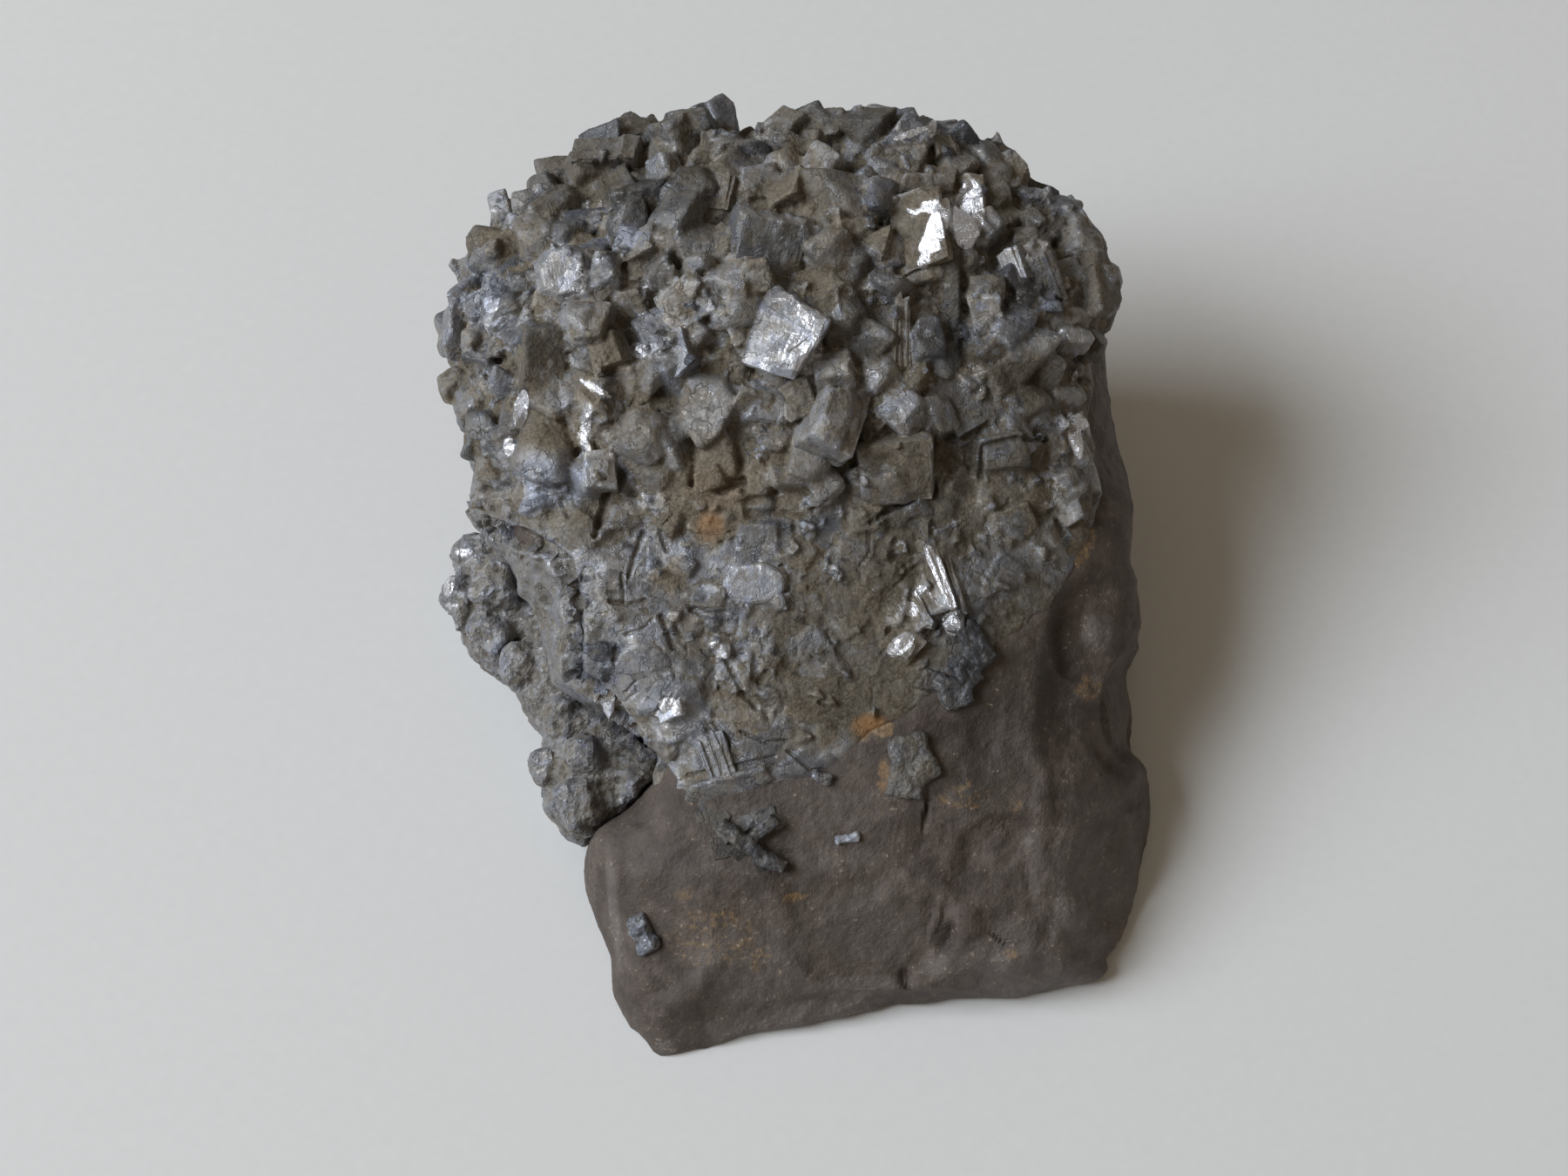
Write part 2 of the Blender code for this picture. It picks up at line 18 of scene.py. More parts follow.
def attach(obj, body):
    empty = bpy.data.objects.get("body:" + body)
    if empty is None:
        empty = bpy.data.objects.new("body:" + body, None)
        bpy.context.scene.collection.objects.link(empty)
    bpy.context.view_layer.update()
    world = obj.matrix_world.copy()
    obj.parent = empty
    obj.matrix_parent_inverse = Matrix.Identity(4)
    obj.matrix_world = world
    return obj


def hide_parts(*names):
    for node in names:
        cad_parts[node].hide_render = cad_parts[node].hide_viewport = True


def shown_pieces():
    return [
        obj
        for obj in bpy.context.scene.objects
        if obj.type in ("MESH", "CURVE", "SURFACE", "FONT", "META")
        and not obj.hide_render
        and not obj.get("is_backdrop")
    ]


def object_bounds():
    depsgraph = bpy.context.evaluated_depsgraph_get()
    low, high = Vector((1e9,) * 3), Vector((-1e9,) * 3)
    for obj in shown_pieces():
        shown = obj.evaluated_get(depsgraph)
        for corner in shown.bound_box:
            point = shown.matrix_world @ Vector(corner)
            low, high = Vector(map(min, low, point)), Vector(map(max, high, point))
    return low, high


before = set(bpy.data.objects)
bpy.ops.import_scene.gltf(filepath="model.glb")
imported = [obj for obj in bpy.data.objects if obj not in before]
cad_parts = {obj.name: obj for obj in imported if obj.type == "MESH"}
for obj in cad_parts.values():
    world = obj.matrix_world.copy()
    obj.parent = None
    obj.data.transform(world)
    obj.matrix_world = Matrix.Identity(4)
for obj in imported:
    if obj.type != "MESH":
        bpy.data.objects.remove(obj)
cad_low, cad_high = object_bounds()
print("packed model, mm:", [round(1000 * side, 1) for side in cad_high - cad_low])

# %% [markdown]
# ## The view
# The camera looks square on to the sloping face, from a quarter of a metre away. A plane laid through the
# middle of that face is measured in pixels of the camera's frame, ten to a millimetre, and a place on the
# stone can then be given as a pixel: the line from the eye through that pixel meets the surface there.

# %% Camera
MM = 0.001
FRAME_WIDE = 1800
FRAME_HIGH = 1350
PIXELS_PER_MM = 10.0
FACE_LEAN = math.radians(60.0)
FACE_CENTRE = Vector((-0.8, -8.6, 32.2))
SIGHT_DISTANCE = 247.3
ACROSS = Vector((1.0, 0.0, 0.0))
UP_FACE = Vector((0.0, math.sin(FACE_LEAN), math.cos(FACE_LEAN)))
OUT_OF_FACE = Vector((0.0, -math.cos(FACE_LEAN), math.sin(FACE_LEAN)))
EYE = FACE_CENTRE + SIGHT_DISTANCE * OUT_OF_FACE

bpy.ops.object.select_all(action="DESELECT")
bpy.ops.object.camera_add(location=EYE * MM, rotation=(math.radians(90.0) - FACE_LEAN, 0.0, 0.0))
camera = bpy.context.object
camera.name = "camera"
camera.data.sensor_width = 36.0
half_view = math.atan(FRAME_WIDE / PIXELS_PER_MM / 2.0 / SIGHT_DISTANCE)
camera.data.lens = camera.data.sensor_width / 2.0 / math.tan(half_view)
camera.data.clip_start = 0.01
bpy.context.scene.camera = camera
print("lens, mm:", round(camera.data.lens, 2))

# %% [markdown]
# ## Floor and light
# The floor is a plain pale board. The light is a large window to the left, about half way up the sky, with
# the rest of a pale room as fill: a large source gives the metal faces something broad to mirror, and
# gives the stone the soft shadow to its right.

# %% Shader helper: numbers as expressions
class Wire:
    """A socket that holds a number. Arithmetic on it adds Math nodes to its tree."""

    def __init__(self, finish, socket):
        self.finish = finish
        self.socket = socket

    def math(self, operation, first, second=0.0):
        return self.finish.add("ShaderNodeMath", {"operation": operation}, {0: first, 1: second})

    def __add__(self, other):
        return self.math("ADD", self, other)

    def __radd__(self, other):
        return self.math("ADD", other, self)

    def __sub__(self, other):
        return self.math("SUBTRACT", self, other)

    def __rsub__(self, other):
        return self.math("SUBTRACT", other, self)

    def __mul__(self, other):
        return self.math("MULTIPLY", self, other)

    def __rmul__(self, other):
        return self.math("MULTIPLY", other, self)

    def __pow__(self, other):
        return self.math("POWER", self, other)

    def clipped(self):
        return self.math("MINIMUM", self.math("MAXIMUM", self, 0.0), 1.0)

    def between(self, low, high):
        """Rises smoothly from 0 at low to 1 at high."""
        settings = {"interpolation_type": "SMOOTHSTEP"}
        return self.finish.add("ShaderNodeMapRange", settings, {0: self, 1: low, 2: high}, "Result")


# %% Shader helper: a material
class Finish:
    """A material in the making: a Principled shader, and one method that adds any other node."""

    def __init__(self, name):
        self.material = bpy.data.materials.new(name)
        self.material.use_nodes = True
        self.tree = self.material.node_tree
        self.shader = self.tree.nodes["Principled BSDF"]

    def add(self, kind, settings=None, sockets=None, output=0):
        """Add a node, set its settings, then its sockets, and give the named output as a Wire."""
        node = self.tree.nodes.new(kind)
        for key, value in (settings or {}).items():
            setattr(node, key, value)
        for key, value in (sockets or {}).items():
            self.feed(node.inputs[key], value)
        return Wire(self, node.outputs[output])

    def feed(self, socket, value):
        if isinstance(value, Wire):
            self.tree.links.new(value.socket, socket)
        else:
            socket.default_value = value

    def set(self, name, value):
        self.feed(self.shader.inputs[name], value)

    def vector(self, operation, *values):
        return self.add("ShaderNodeVectorMath", {"operation": operation}, dict(enumerate(values)))

    def scaled(self, value, by):
        """A colour or a place, times a number."""
        return self.add("ShaderNodeVectorMath", {"operation": "SCALE"}, {0: value, "Scale": by})

    def channels(self, value, count=3):
        """The first channels of a colour, as numbers."""
        return [self.add("ShaderNodeSeparateColor", {}, {0: value}, place) for place in range(count)]

    def stored(self, name, output):
        """What was written on the piece's points under this name."""
        return self.add("ShaderNodeAttribute", {"attribute_name": name}, {}, output)

    def places(self):
        """Object coordinates, in millimetres."""
        return self.scaled(self.add("ShaderNodeTexCoord", output="Object"), 1.0 / MM)

    def noise(self, places, size, detail=3.0, roughness=0.55):
        """Cloudy values from 0 to 1, with lumps of about this size in millimetres."""
        sockets = {"Vector": places, "Scale": 1.0 / size, "Detail": detail, "Roughness": roughness}
        return self.add("ShaderNodeTexNoise", {}, sockets, "Fac")

    def cells(self, places, size, feature="F1", output="Distance"):
        sockets = {"Vector": places, "Scale": 1.0 / size}
        return self.add("ShaderNodeTexVoronoi", {"feature": feature}, sockets, output)

    def facets(self, places, size):
        """Flat faces side by side, each tilted its own way: their height in millimetres, and two chances."""
        centre = self.add("ShaderNodeTexVoronoi", {}, {"Vector": places, "Scale": 1.0 / size}, "Position")
        chance = Wire(self, centre.socket.node.outputs["Color"])
        offset = self.vector("SUBTRACT", places, centre)
        tilt = self.vector("SUBTRACT", chance, (0.5, 0.5, 0.5))
        height = self.add("ShaderNodeVectorMath", {"operation": "DOT_PRODUCT"}, {0: offset, 1: tilt}, "Value")
        return (height, *self.channels(chance, 2))

    def mix(self, share, first, second):
        """Mix two colours."""
        return self.add("ShaderNodeMix", {"data_type": "RGBA"}, {0: share, 6: first, 7: second}, 2)

    def bump(self, height, distance, strength):
        sockets = {"Height": height, "Distance": distance * MM, "Strength": strength}
        return self.add("ShaderNodeBump", {}, sockets, "Normal")


def colour(red, green, blue):
    """A colour given as on a screen, 0 to 255, as the linear values that a shader takes."""
    share = [value / 255.0 for value in (red, green, blue)]
    return tuple(value / 12.92 if value < 0.04045 else ((value + 0.055) / 1.055) ** 2.4
                 for value in share) + (1.0,)


# %% Floor
FLOOR_SIDE = 4.0

bpy.ops.mesh.primitive_plane_add(size=FLOOR_SIDE, location=(0.0, 0.0, -0.0001))
floor = bpy.context.object
floor.name = "floor"
floor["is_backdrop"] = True
board = Finish("pale_board")
grain = board.noise(board.places(), 1.6, 4.0)
board.set("Base Color", board.mix(grain, colour(219, 218, 217), colour(226, 225, 224)))
board.set("Roughness", 0.75)
floor.data.materials.append(board.material)

# %% Window and room
WINDOW_HEIGHT = math.radians(41.5)       # above the horizon, as seen from the stone
WINDOW_BACK = math.radians(-6.5)         # how far it stands behind the stone's left
WINDOW_AWAY = 2.4                        # metres
WINDOW_WIDE = 1.38
WINDOW_POWER = 64.7                      # watts
WINDOW_COLOUR = (0.86, 0.93, 1.0)
ROOM_COLOUR = (1.0, 0.85, 0.65, 1.0)
ROOM_LIGHT = 0.19

toward_window = Vector((
    -math.cos(WINDOW_HEIGHT) * math.cos(WINDOW_BACK),
    math.cos(WINDOW_HEIGHT) * math.sin(WINDOW_BACK),
    math.sin(WINDOW_HEIGHT),
))
bpy.ops.object.light_add(type="AREA", location=toward_window * WINDOW_AWAY)
window = bpy.context.object
window.name = "window"
window.data.shape = "RECTANGLE"
window.data.size = WINDOW_WIDE
window.data.size_y = WINDOW_WIDE
window.data.energy = WINDOW_POWER
window.data.color = WINDOW_COLOUR
window.rotation_euler = toward_window.to_track_quat("Z", "Y").to_euler()
room = bpy.data.worlds.new("pale_room")
bpy.context.scene.world = room
room.use_nodes = True
background = room.node_tree.nodes["Background"]
background.inputs["Color"].default_value = ROOM_COLOUR
background.inputs["Strength"].default_value = ROOM_LIGHT
bpy.context.scene.view_settings.view_transform = "Standard"

# %% [markdown]
# ## Tools for shaping
# A few short helpers select an object alone, apply its modifiers, and read or write its points as a table.
# Moving points in code does what a sculpting brush does by hand, and gives the same result each time.

# %% Helpers for objects
def only(*items):
    """Select these objects alone. The last one is the active one."""
    bpy.ops.object.select_all(action="DESELECT")
    for item in items:
        item.select_set(True)
    bpy.context.view_layer.objects.active = items[-1]


def modify(item, kind, **settings):
    """Add a modifier, and apply it."""
    only(item)
    modifier = item.modifiers.new(kind.lower(), kind)
    for key, value in settings.items():
        setattr(modifier, key, value)
    bpy.ops.object.modifier_apply(modifier=modifier.name)


def table_of(collection, field, width=3):
    """A row of numbers for each point or face."""
    values = np.empty(len(collection) * width, np.float32)
    collection.foreach_get(field, values)
    return values.reshape(-1, width).astype(float)


def points_of(item):
    return table_of(item.data.vertices, "co")


def normals_of(item):
    return table_of(item.data.vertex_normals, "vector")


def face_middles(item):
    return table_of(item.data.polygons, "center")


def face_normals(item):
    return table_of(item.data.polygons, "normal")


def toward_eye(normals):
    """1 where a normal points straight out of the sloping face, 0 where it lies across, -1 behind."""
    return normals @ np.array(OUT_OF_FACE)


def move_points(item, points):
    item.data.vertices.foreach_set("co", points.astype(np.float32).ravel())
    item.data.update()


def rest_on_floor(points):
    points[:, 2] = np.maximum(points[:, 2], 0.0)
    return points


def roughen(item, texture, strength, **settings):
    """Move the points in and out along their normals, by this many millimetres in all."""
    modify(item, "DISPLACE", texture=texture, strength=strength, **{"mid_level": 0.5, **settings})


def soften(item, rounds, **settings):
    modify(item, "SMOOTH", factor=0.5, iterations=rounds, **settings)


def edit_faces(item, chosen, operator, **settings):
    """Run a mesh operator in edit mode on just these faces."""
    only(item)
    bpy.ops.object.mode_set(mode="EDIT")
    bpy.ops.mesh.select_mode(type="FACE")
    bpy.ops.mesh.select_all(action="DESELECT")
    bpy.ops.object.mode_set(mode="OBJECT")
    item.data.polygons.foreach_set("select", chosen)
    bpy.ops.object.mode_set(mode="EDIT")
    operator(**settings)
    bpy.ops.object.mode_set(mode="OBJECT")


def write(item, name, kind, values):
    """Store a value for each point: kind is FLOAT, FLOAT_VECTOR or FLOAT_COLOR."""
    layer = item.data.attributes.get(name) or item.data.attributes.new(name, kind, "POINT")
    field = {"FLOAT": "value", "FLOAT_VECTOR": "vector", "FLOAT_COLOR": "color"}[kind]
    layer.data.foreach_set(field, np.asarray(values, np.float32).ravel())


def join(items, name):
    only(*items)
    bpy.ops.object.join()
    whole = bpy.context.object
    whole.name = name
    whole.data.name = name
    return whole


def copy_of(item, name):
    twin = bpy.data.objects.new(name, item.data.copy())
    bpy.context.scene.collection.objects.link(twin)
    return twin


def from_node(node, name, cell, rounds):
    """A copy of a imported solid, in millimetres: merged, remeshed in even cells, and smoothed."""
    item = copy_of(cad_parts[node], name)
    item.data.materials.clear()
    item.data.transform(Matrix.Scale(1.0 / MM, 4))
    only(item)
    bpy.ops.object.mode_set(mode="EDIT")
    bpy.ops.mesh.select_all(action="SELECT")
    bpy.ops.mesh.remove_doubles(threshold=0.01)
    bpy.ops.object.mode_set(mode="OBJECT")
    modify(item, "REMESH", mode="VOXEL", voxel_size=cell)
    soften(item, rounds)
    return item


def clouds(size, depth=2):
    texture = bpy.data.textures.new("clouds", "CLOUDS")
    texture.noise_scale = size
    texture.noise_depth = depth
    return texture


def triangles(item):
    item.data.calc_loop_triangles()
    return len(item.data.loop_triangles)


def smooth_step(value):
    value = np.clip(value, 0.0, 1.0)
    return value * value * (3.0 - 2.0 * value)


# %% [markdown]
# ## Where the crust lies
# The crystals cover the upper face down to a slanting edge, and turn over the top and the left side. The
# edge is one line on the face plane. The distance from it says, for any point of the stone, how thick the
# crust is there: it thins out towards its edge.

# %% The crust's extent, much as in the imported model
CRUST_EDGE = [
    (-60.0, 3.0), (-37.0, 4.0), (-33.0, 2.5), (-29.5, -3.0), (-27.5, -11.0), (-23.0, -14.0),
    (-16.0, -22.0), (-7.0, -22.5), (4.0, -20.5), (10.0, -16.0), (15.0, -13.5), (18.0, -10.0),
    (22.0, -8.0), (30.5, -1.5), (35.5, 7.5), (36.2, 27.0), (39.0, 32.0), (60.0, 34.0),
]
CRUST_TURNS_BACK = -24.0
CRUST_EDGE_WAVE = 2.5
CRUST_THICK = 6.0
CRUST_THICK_LOW = 3.0
CRUST_TAPER = 13.0
CRUST_TAPER_LEFT = 5.0


def face_coordinates(points):
    """Split points into across, up and out of the face, as seen from the eye."""
    offset = points - np.array(FACE_CENTRE)
    out = offset @ np.array(OUT_OF_FACE)
    nearness = 1.0 - out / SIGHT_DISTANCE
    return offset @ np.array(ACROSS) / nearness, offset @ np.array(UP_FACE) / nearness, out


def pixels(points):
    across, up, _ = face_coordinates(points)
    return FRAME_WIDE / 2.0 + across * PIXELS_PER_MM, FRAME_HIGH / 2.0 - up * PIXELS_PER_MM


def distance_to_line(u, v, corners):
    """How far each place (u, v) lies from a line through these corners."""
    nearest = np.full(len(u), np.inf)
    for start, end in zip(corners[:-1], corners[1:]):
        run = end - start
        share = ((u - start[0]) * run[0] + (v - start[1]) * run[1]) / (run @ run)
        share = np.clip(share, 0.0, 1.0)
        distance = np.hypot(u - start[0] - share * run[0], v - start[1] - share * run[1])
        nearest = np.minimum(nearest, distance)
    return nearest


def depth_inside_crust(points):
    """Distance from the crust's edge, in millimetres, positive inside the crust."""
    across, up, out = face_coordinates(points)
    corners = np.array(CRUST_EDGE)
    nearest = distance_to_line(across, up, corners)
    above = up > np.interp(across, corners[:, 0], corners[:, 1])
    wave = CRUST_EDGE_WAVE * (np.sin(across / 5.3) + np.sin(across / 2.9 + 1.0)) / 2.0
    return np.minimum(np.where(above, nearest, -nearest), out - (CRUST_TURNS_BACK + wave))


def crust_lift(points):
    """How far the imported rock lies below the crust's top."""
    across, up, _ = face_coordinates(points)
    full = CRUST_THICK_LOW + (CRUST_THICK - CRUST_THICK_LOW) * smooth_step((up + 5.0) / 30.0)
    low_left = smooth_step((-10.0 - across) / 14.0) * smooth_step((8.0 - up) / 6.0)
    taper = CRUST_TAPER + (CRUST_TAPER_LEFT - CRUST_TAPER) * low_left
    return full * smooth_step(depth_inside_crust(points) / taper)


# %% [markdown]
# ## The rock
# The matrix is a worn, fine-grained brown rock: planes where it broke, rounded where it was handled. It
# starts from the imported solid, which a voxel remesh turns into even small squares and smoothing relieves of
# its flat facets. A Displace modifier then gives it relief in three sizes.

# %% Rock body
ROCK_CELL = 0.9
BED_CELL = 0.8

rock = from_node("matrix_rock", "rock", ROCK_CELL, 16)
bed = from_node("matrix_rock", "crust_bed", BED_CELL, 20)
print("rock, even squares:", len(rock.data.polygons), "bed:", len(bed.data.polygons))

# %% Finer squares where the bare rock faces the camera
middles = face_middles(rock)
faces_camera = toward_eye(face_normals(rock)) > -0.1
bare = depth_inside_crust(middles) < 1.5
edit_faces(rock, faces_camera & bare & (middles[:, 2] > 0.3), bpy.ops.mesh.subdivide, number_cuts=1)

# %% Broken planes
# px, py, how the plane turns from the surface (right, down, in degrees), how deep, and how far it reaches
FACETS = [
    (1000, 1072, 9, 9, 0.8, 10.5), (1264, 728, -14, 0, 0.8, 8.0), (1285, 985, -8, 6, 0.6, 10.0),
    (812, 1085, 8, 4, 0.5, 10.0), (745, 1075, 16, 0, 0.5, 9.0), (1170, 1010, -3, -8, 0.4, 9.0),
    (905, 1170, 0, -14, 0.7, 14.0), (1190, 1128, -4, -14, 0.6, 11.0), (1215, 800, 8, 4, 0.5, 9.0),
    (955, 975, -2, 5, 0.3, 9.0), (1120, 900, 4, -3, 0.3, 9.0), (1290, 840, -18, 8, 0.6, 7.0),
]


def sight(px, py):
    """The direction from the eye through a pixel."""
    across = (px - FRAME_WIDE / 2.0) / PIXELS_PER_MM
    up = (FRAME_HIGH / 2.0 - py) / PIXELS_PER_MM
    return (FACE_CENTRE + ACROSS * across + UP_FACE * up - EYE).normalized()


def surface_tree(item):
    """For finding where a line meets a surface."""
    return BVHTree.FromObject(item, bpy.context.evaluated_depsgraph_get())


def point_tree(places):
    """For finding the nearest of many places."""
    tree = KDTree(len(places))
    for index, place in enumerate(places):
        tree.insert(place, index)
    tree.balance()
    return tree


whole = surface_tree(rock)
points = points_of(rock)
for px, py, turn_right, turn_down, deep, reach in FACETS:
    place, normal, _, _ = whole.ray_cast(EYE, sight(px, py))
    normal = Matrix.Rotation(math.radians(turn_right), 3, UP_FACE) @ normal
    normal = np.array(Matrix.Rotation(math.radians(turn_down), 3, ACROSS) @ normal)
    offset = points - np.array(place)
    above = np.maximum(offset @ normal + deep, 0.0)
    near = smooth_step((1.0 - np.linalg.norm(offset, axis=1) / reach) * 3.0)
    points = points - normal * (above * near)[:, None]
move_points(rock, points)

# %% Relief of the rock
FOOT_STAYS_FLAT = 2.0

before = points_of(rock)
for size, depth, strength in [(15.0, 1, 1.2), (5.0, 2, 0.6), (1.5, 3, 0.34)]:
    roughen(rock, clouds(size, depth), strength)
under_crust = smooth_step((depth_inside_crust(before) + 1.5) / 3.0)[:, None]
points = before + (points_of(rock) - before) * (1.0 - under_crust)
points = points - normals_of(rock) * 0.3 * under_crust
move_points(rock, points)

# %% [markdown]
# ### Chips, notches and bumps
# What broke off or wore away is pressed into the rock: each stroke is an ellipse given in pixels,
# with how far it raises the surface. A soft one fades out from its middle. A sharp one is level inside and
# falls off at its rim, as where a flake came away.

# %% Strokes on the rock
# px, py, wide, long, spin, raised by (mm), sharp (0 to 1)
STROKES = [
    (1088, 1076, 22, 64, 20, -0.9, 0.2), (1074, 1060, 16, 70, 16, 0.4, 0.2),
    (1042, 1128, 22, 52, -14, -0.7, 0.2), (1148, 1078, 42, 9, 32, -0.5, 0.3),
    (1064, 932, 9, 62, 6, -0.7, 0.2),
    (1195, 960, 40, 190, 2, 0.5, 0.0), (1215, 800, 70, 150, 0, -0.6, 0.0),
    (1264, 728, 52, 66, 0, 0.6, 0.3), (1300, 868, 34, 30, -20, -0.9, 0.2),
    (1108, 1056, 54, 60, -10, 0.6, 0.2), (1165, 1108, 70, 44, -12, 0.6, 0.2),
    (1240, 1112, 90, 50, -8, 0.5, 0.2), (1232, 1046, 50, 60, 10, 0.5, 0.2),
    (1202, 1070, 30, 80, 16, -0.3, 0.0), (1182, 1016, 24, 80, -6, -0.3, 0.0),
    (1290, 985, 44, 90, -8, 0.5, 0.1), (1296, 925, 30, 22, 0, -0.5, 0.1),
    (745, 1110, 60, 120, -20, 0.3, 0.1), (1130, 850, 50, 110, 0, -0.4, 0.1),
    (960, 1000, 90, 40, 0, 0.35, 0.2), (720, 1000, 26, 100, -8, -0.4, 0.2),
    (905, 985, 46, 30, 20, -0.35, 0.3), (1140, 960, 60, 70, 0, 0.35, 0.3),
]


def inside_ellipse(points, px, py, wide, long, spin):
    """How far inside an ellipse, given in pixels, each point lies: 1 at its middle, 0 at its rim."""
    right, down = pixels(points)
    turn = math.radians(spin)
    u = (right - px) * math.cos(turn) + (down - py) * math.sin(turn)
    v = (down - py) * math.cos(turn) - (right - px) * math.sin(turn)
    return np.clip(1.0 - np.hypot(u * 2.0 / wide, v * 2.0 / long), 0.0, 1.0)


def covered(points, ellipse, edge):
    """1 within an ellipse, falling to 0 over its edge, which takes up this share of its radius."""
    return smooth_step(inside_ellipse(points, *ellipse) / edge)


points = points_of(rock)
normals = normals_of(rock)
seen = smooth_step((toward_eye(normals) + 0.2) / 0.4)
ragged = np.sin(points @ np.array((1.7, 0.9, 1.3))) + np.sin(points @ np.array((-0.8, 2.1, 1.1)) + 1.0)
raised = np.zeros(len(points))
for px, py, wide, long, spin, height, sharp in STROKES:
    inside = inside_ellipse(points, px, py, wide, long, spin)
    inside = np.where(inside > 0.0, inside + 0.05 * ragged, 0.0)
    raised += height * smooth_step(inside / (1.0 - 0.8 * sharp))
points = points + normals * (raised * seen)[:, None]
keep = smooth_step(before[:, 2] / FOOT_STAYS_FLAT)[:, None]
move_points(rock, rest_on_floor(before + (points - before) * keep))
print("rock triangles:", triangles(rock))

# %% Pull the outline
# px, py, wide, long, then how far right, up the face and out of it, in millimetres
ROCK_PULLS = [
    (1290, 430, 100, 330, -2.0, 0.0, 0.0), (1305, 815, 90, 150, -2.3, 0.0, 0.0),
    (1305, 690, 60, 90, 0.6, 0.0, 0.0), (1270, 1135, 80, 70, 1.0, 0.0, 0.0),
    (735, 1175, 130, 190, -1.2, -0.9, 0.0), (1020, 1175, 420, 90, 0.0, 1.1, 0.0),
]


def pull(item, pulls):
    points = points_of(item)
    for px, py, wide, long, right, up, out in pulls:
        inside = covered(points, (px, py, wide, long, 0), 0.5)
        points = points + inside[:, None] * np.array(ACROSS * right + UP_FACE * up + OUT_OF_FACE * out)
    move_points(item, rest_on_floor(points))


pull(rock, ROCK_PULLS)

# %% [markdown]
# ## The bed of the crust
# Between the larger crystals the crust is a mosaic of small crystal faces at all angles, with steep steps
# between them. Each is a tilted square with sides that fall away, and where they overlap the highest one
# shows, as with crystals that grew into each other. The bed is cut from a copy of the rock and given
# thickness by a Solidify modifier, then its outer points are raised to this mosaic.

# %% Cut the bed out and thicken it
BED_REACH = -1.2                         # how far past the crust's edge the bed runs, under the rock
BED_THICK = 2.6

depth = depth_inside_crust(face_middles(bed))
edit_faces(bed, depth < BED_REACH, bpy.ops.mesh.delete, type="FACE")
points = points_of(bed)
depth = depth_inside_crust(points)
sink = 0.7 * smooth_step(-depth / 1.0)
move_points(bed, points + normals_of(bed) * (crust_lift(points) + 0.25 - sink)[:, None])
bed.vertex_groups.new(name="inner")
modify(bed, "SOLIDIFY", thickness=BED_THICK, offset=-1.0, shell_vertex_group="inner")


def is_inner(item, least):
    """Which points belong to the inner side that Solidify made, by their weight in its group."""
    return np.array([any(group.weight > least for group in vertex.groups) for vertex in item.data.vertices])


inner = is_inner(bed, 0.5)
is_outer = np.array([not any(inner[index] for index in face.vertices) for face in bed.data.polygons])
faces_camera = toward_eye(face_normals(bed)) > -0.1
edit_faces(bed, is_outer & faces_camera, bpy.ops.mesh.subdivide, number_cuts=1)
inner = is_inner(bed, 0.1)
print("bed points:", len(inner), "of which inner:", int(inner.sum()))

# %% Pull its outline too
CRUST_PULLS = [
    (735, 150, 260, 170, 0.0, 1.8, 0.0), (905, 140, 160, 100, 0.0, 0.5, 0.0),
    (845, 140, 90, 80, 0.0, -1.0, 0.0), (545, 290, 110, 170, 1.2, 0.0, 0.0),
    (600, 200, 110, 90, 0.0, 1.0, 0.0), (1075, 140, 60, 60, 0.0, 1.2, 0.0),
    (1165, 190, 100, 80, 0.2, 1.3, 0.0), (1285, 300, 80, 120, -1.3, 0.0, 0.0),
    (505, 520, 110, 220, 2.6, 0.0, 0.0), (500, 370, 90, 160, 0.3, 0.0, 0.0),
    (1290, 450, 100, 300, -1.6, 0.0, 0.0), (598, 705, 125, 240, 0.0, 0.0, -2.4),
]
pull(bed, CRUST_PULLS)

# %% Seeds of the mosaic
SEEDS_NEAREST = 9
SIDES_FALL = 2.2                         # how steeply a square's sides fall away


def scatter(points, spacing, draw):
    """Choose points in a random order, each no nearer to another than the spacing there."""
    order = list(range(len(points)))
    draw.shuffle(order)
    chosen = []
    grid = {}
    cell = float(np.max(spacing))
    for index in order:
        place = points[index]
        key = tuple(int(value // cell) for value in place)
        near = [other for x in (-1, 0, 1) for y in (-1, 0, 1) for z in (-1, 0, 1)
                for other in grid.get((key[0] + x, key[1] + y, key[2] + z), ())]
        if all(np.sum((points[other] - place) ** 2) > spacing[index] ** 2 for other in near):
            grid.setdefault(key, []).append(index)
            chosen.append(index)
    return chosen


def mosaic(points, normals, outer, high, spacing, slope, draw):
    """Height of a mosaic of tilted squares over each point, and the square that shows there."""
    candidates = np.flatnonzero(outer)
    chosen = candidates[scatter(points[candidates], spacing[candidates], draw)]
    centres = points[chosen]
    tree = point_tree(centres)
    along = np.empty_like(centres)
    beside = np.empty_like(centres)
    for number, index in enumerate(chosen):
        turn = Matrix.Rotation(draw.uniform(0.0, math.pi), 3, Vector(normals[index]))
        flat = turn @ Vector(normals[index]).orthogonal().normalized()
        along[number] = flat
        beside[number] = Vector(normals[index]).cross(flat)
    count = len(chosen)
    random_table = np.random.default_rng(draw.randrange(10 ** 6))
    half = spacing[chosen][:, None] * random_table.uniform(0.30, 0.72, (count, 2))
    top = random_table.uniform(0.0, 1.0, count)
    tilt = random_table.normal(0.0, 0.30, (count, 2))
    near = np.array([[item[1] for item in tree.find_n(place, SEEDS_NEAREST)] for place in points])
    offset = points[:, None, :] - centres[near]
    u = np.einsum("ijk,ijk->ij", offset, along[near])
    v = np.einsum("ijk,ijk->ij", offset, beside[near])
    outside = np.maximum(np.abs(u) - half[near, 0], np.abs(v) - half[near, 1])
    height = top[near] * high[:, None] + slope[:, None] * (tilt[near, 0] * u + tilt[near, 1] * v)
    height = height - SIDES_FALL * np.maximum(outside, 0.0)
    best = np.argmax(height, axis=1)
    row = np.arange(len(points))
    return height[row, best], near[row, best], count


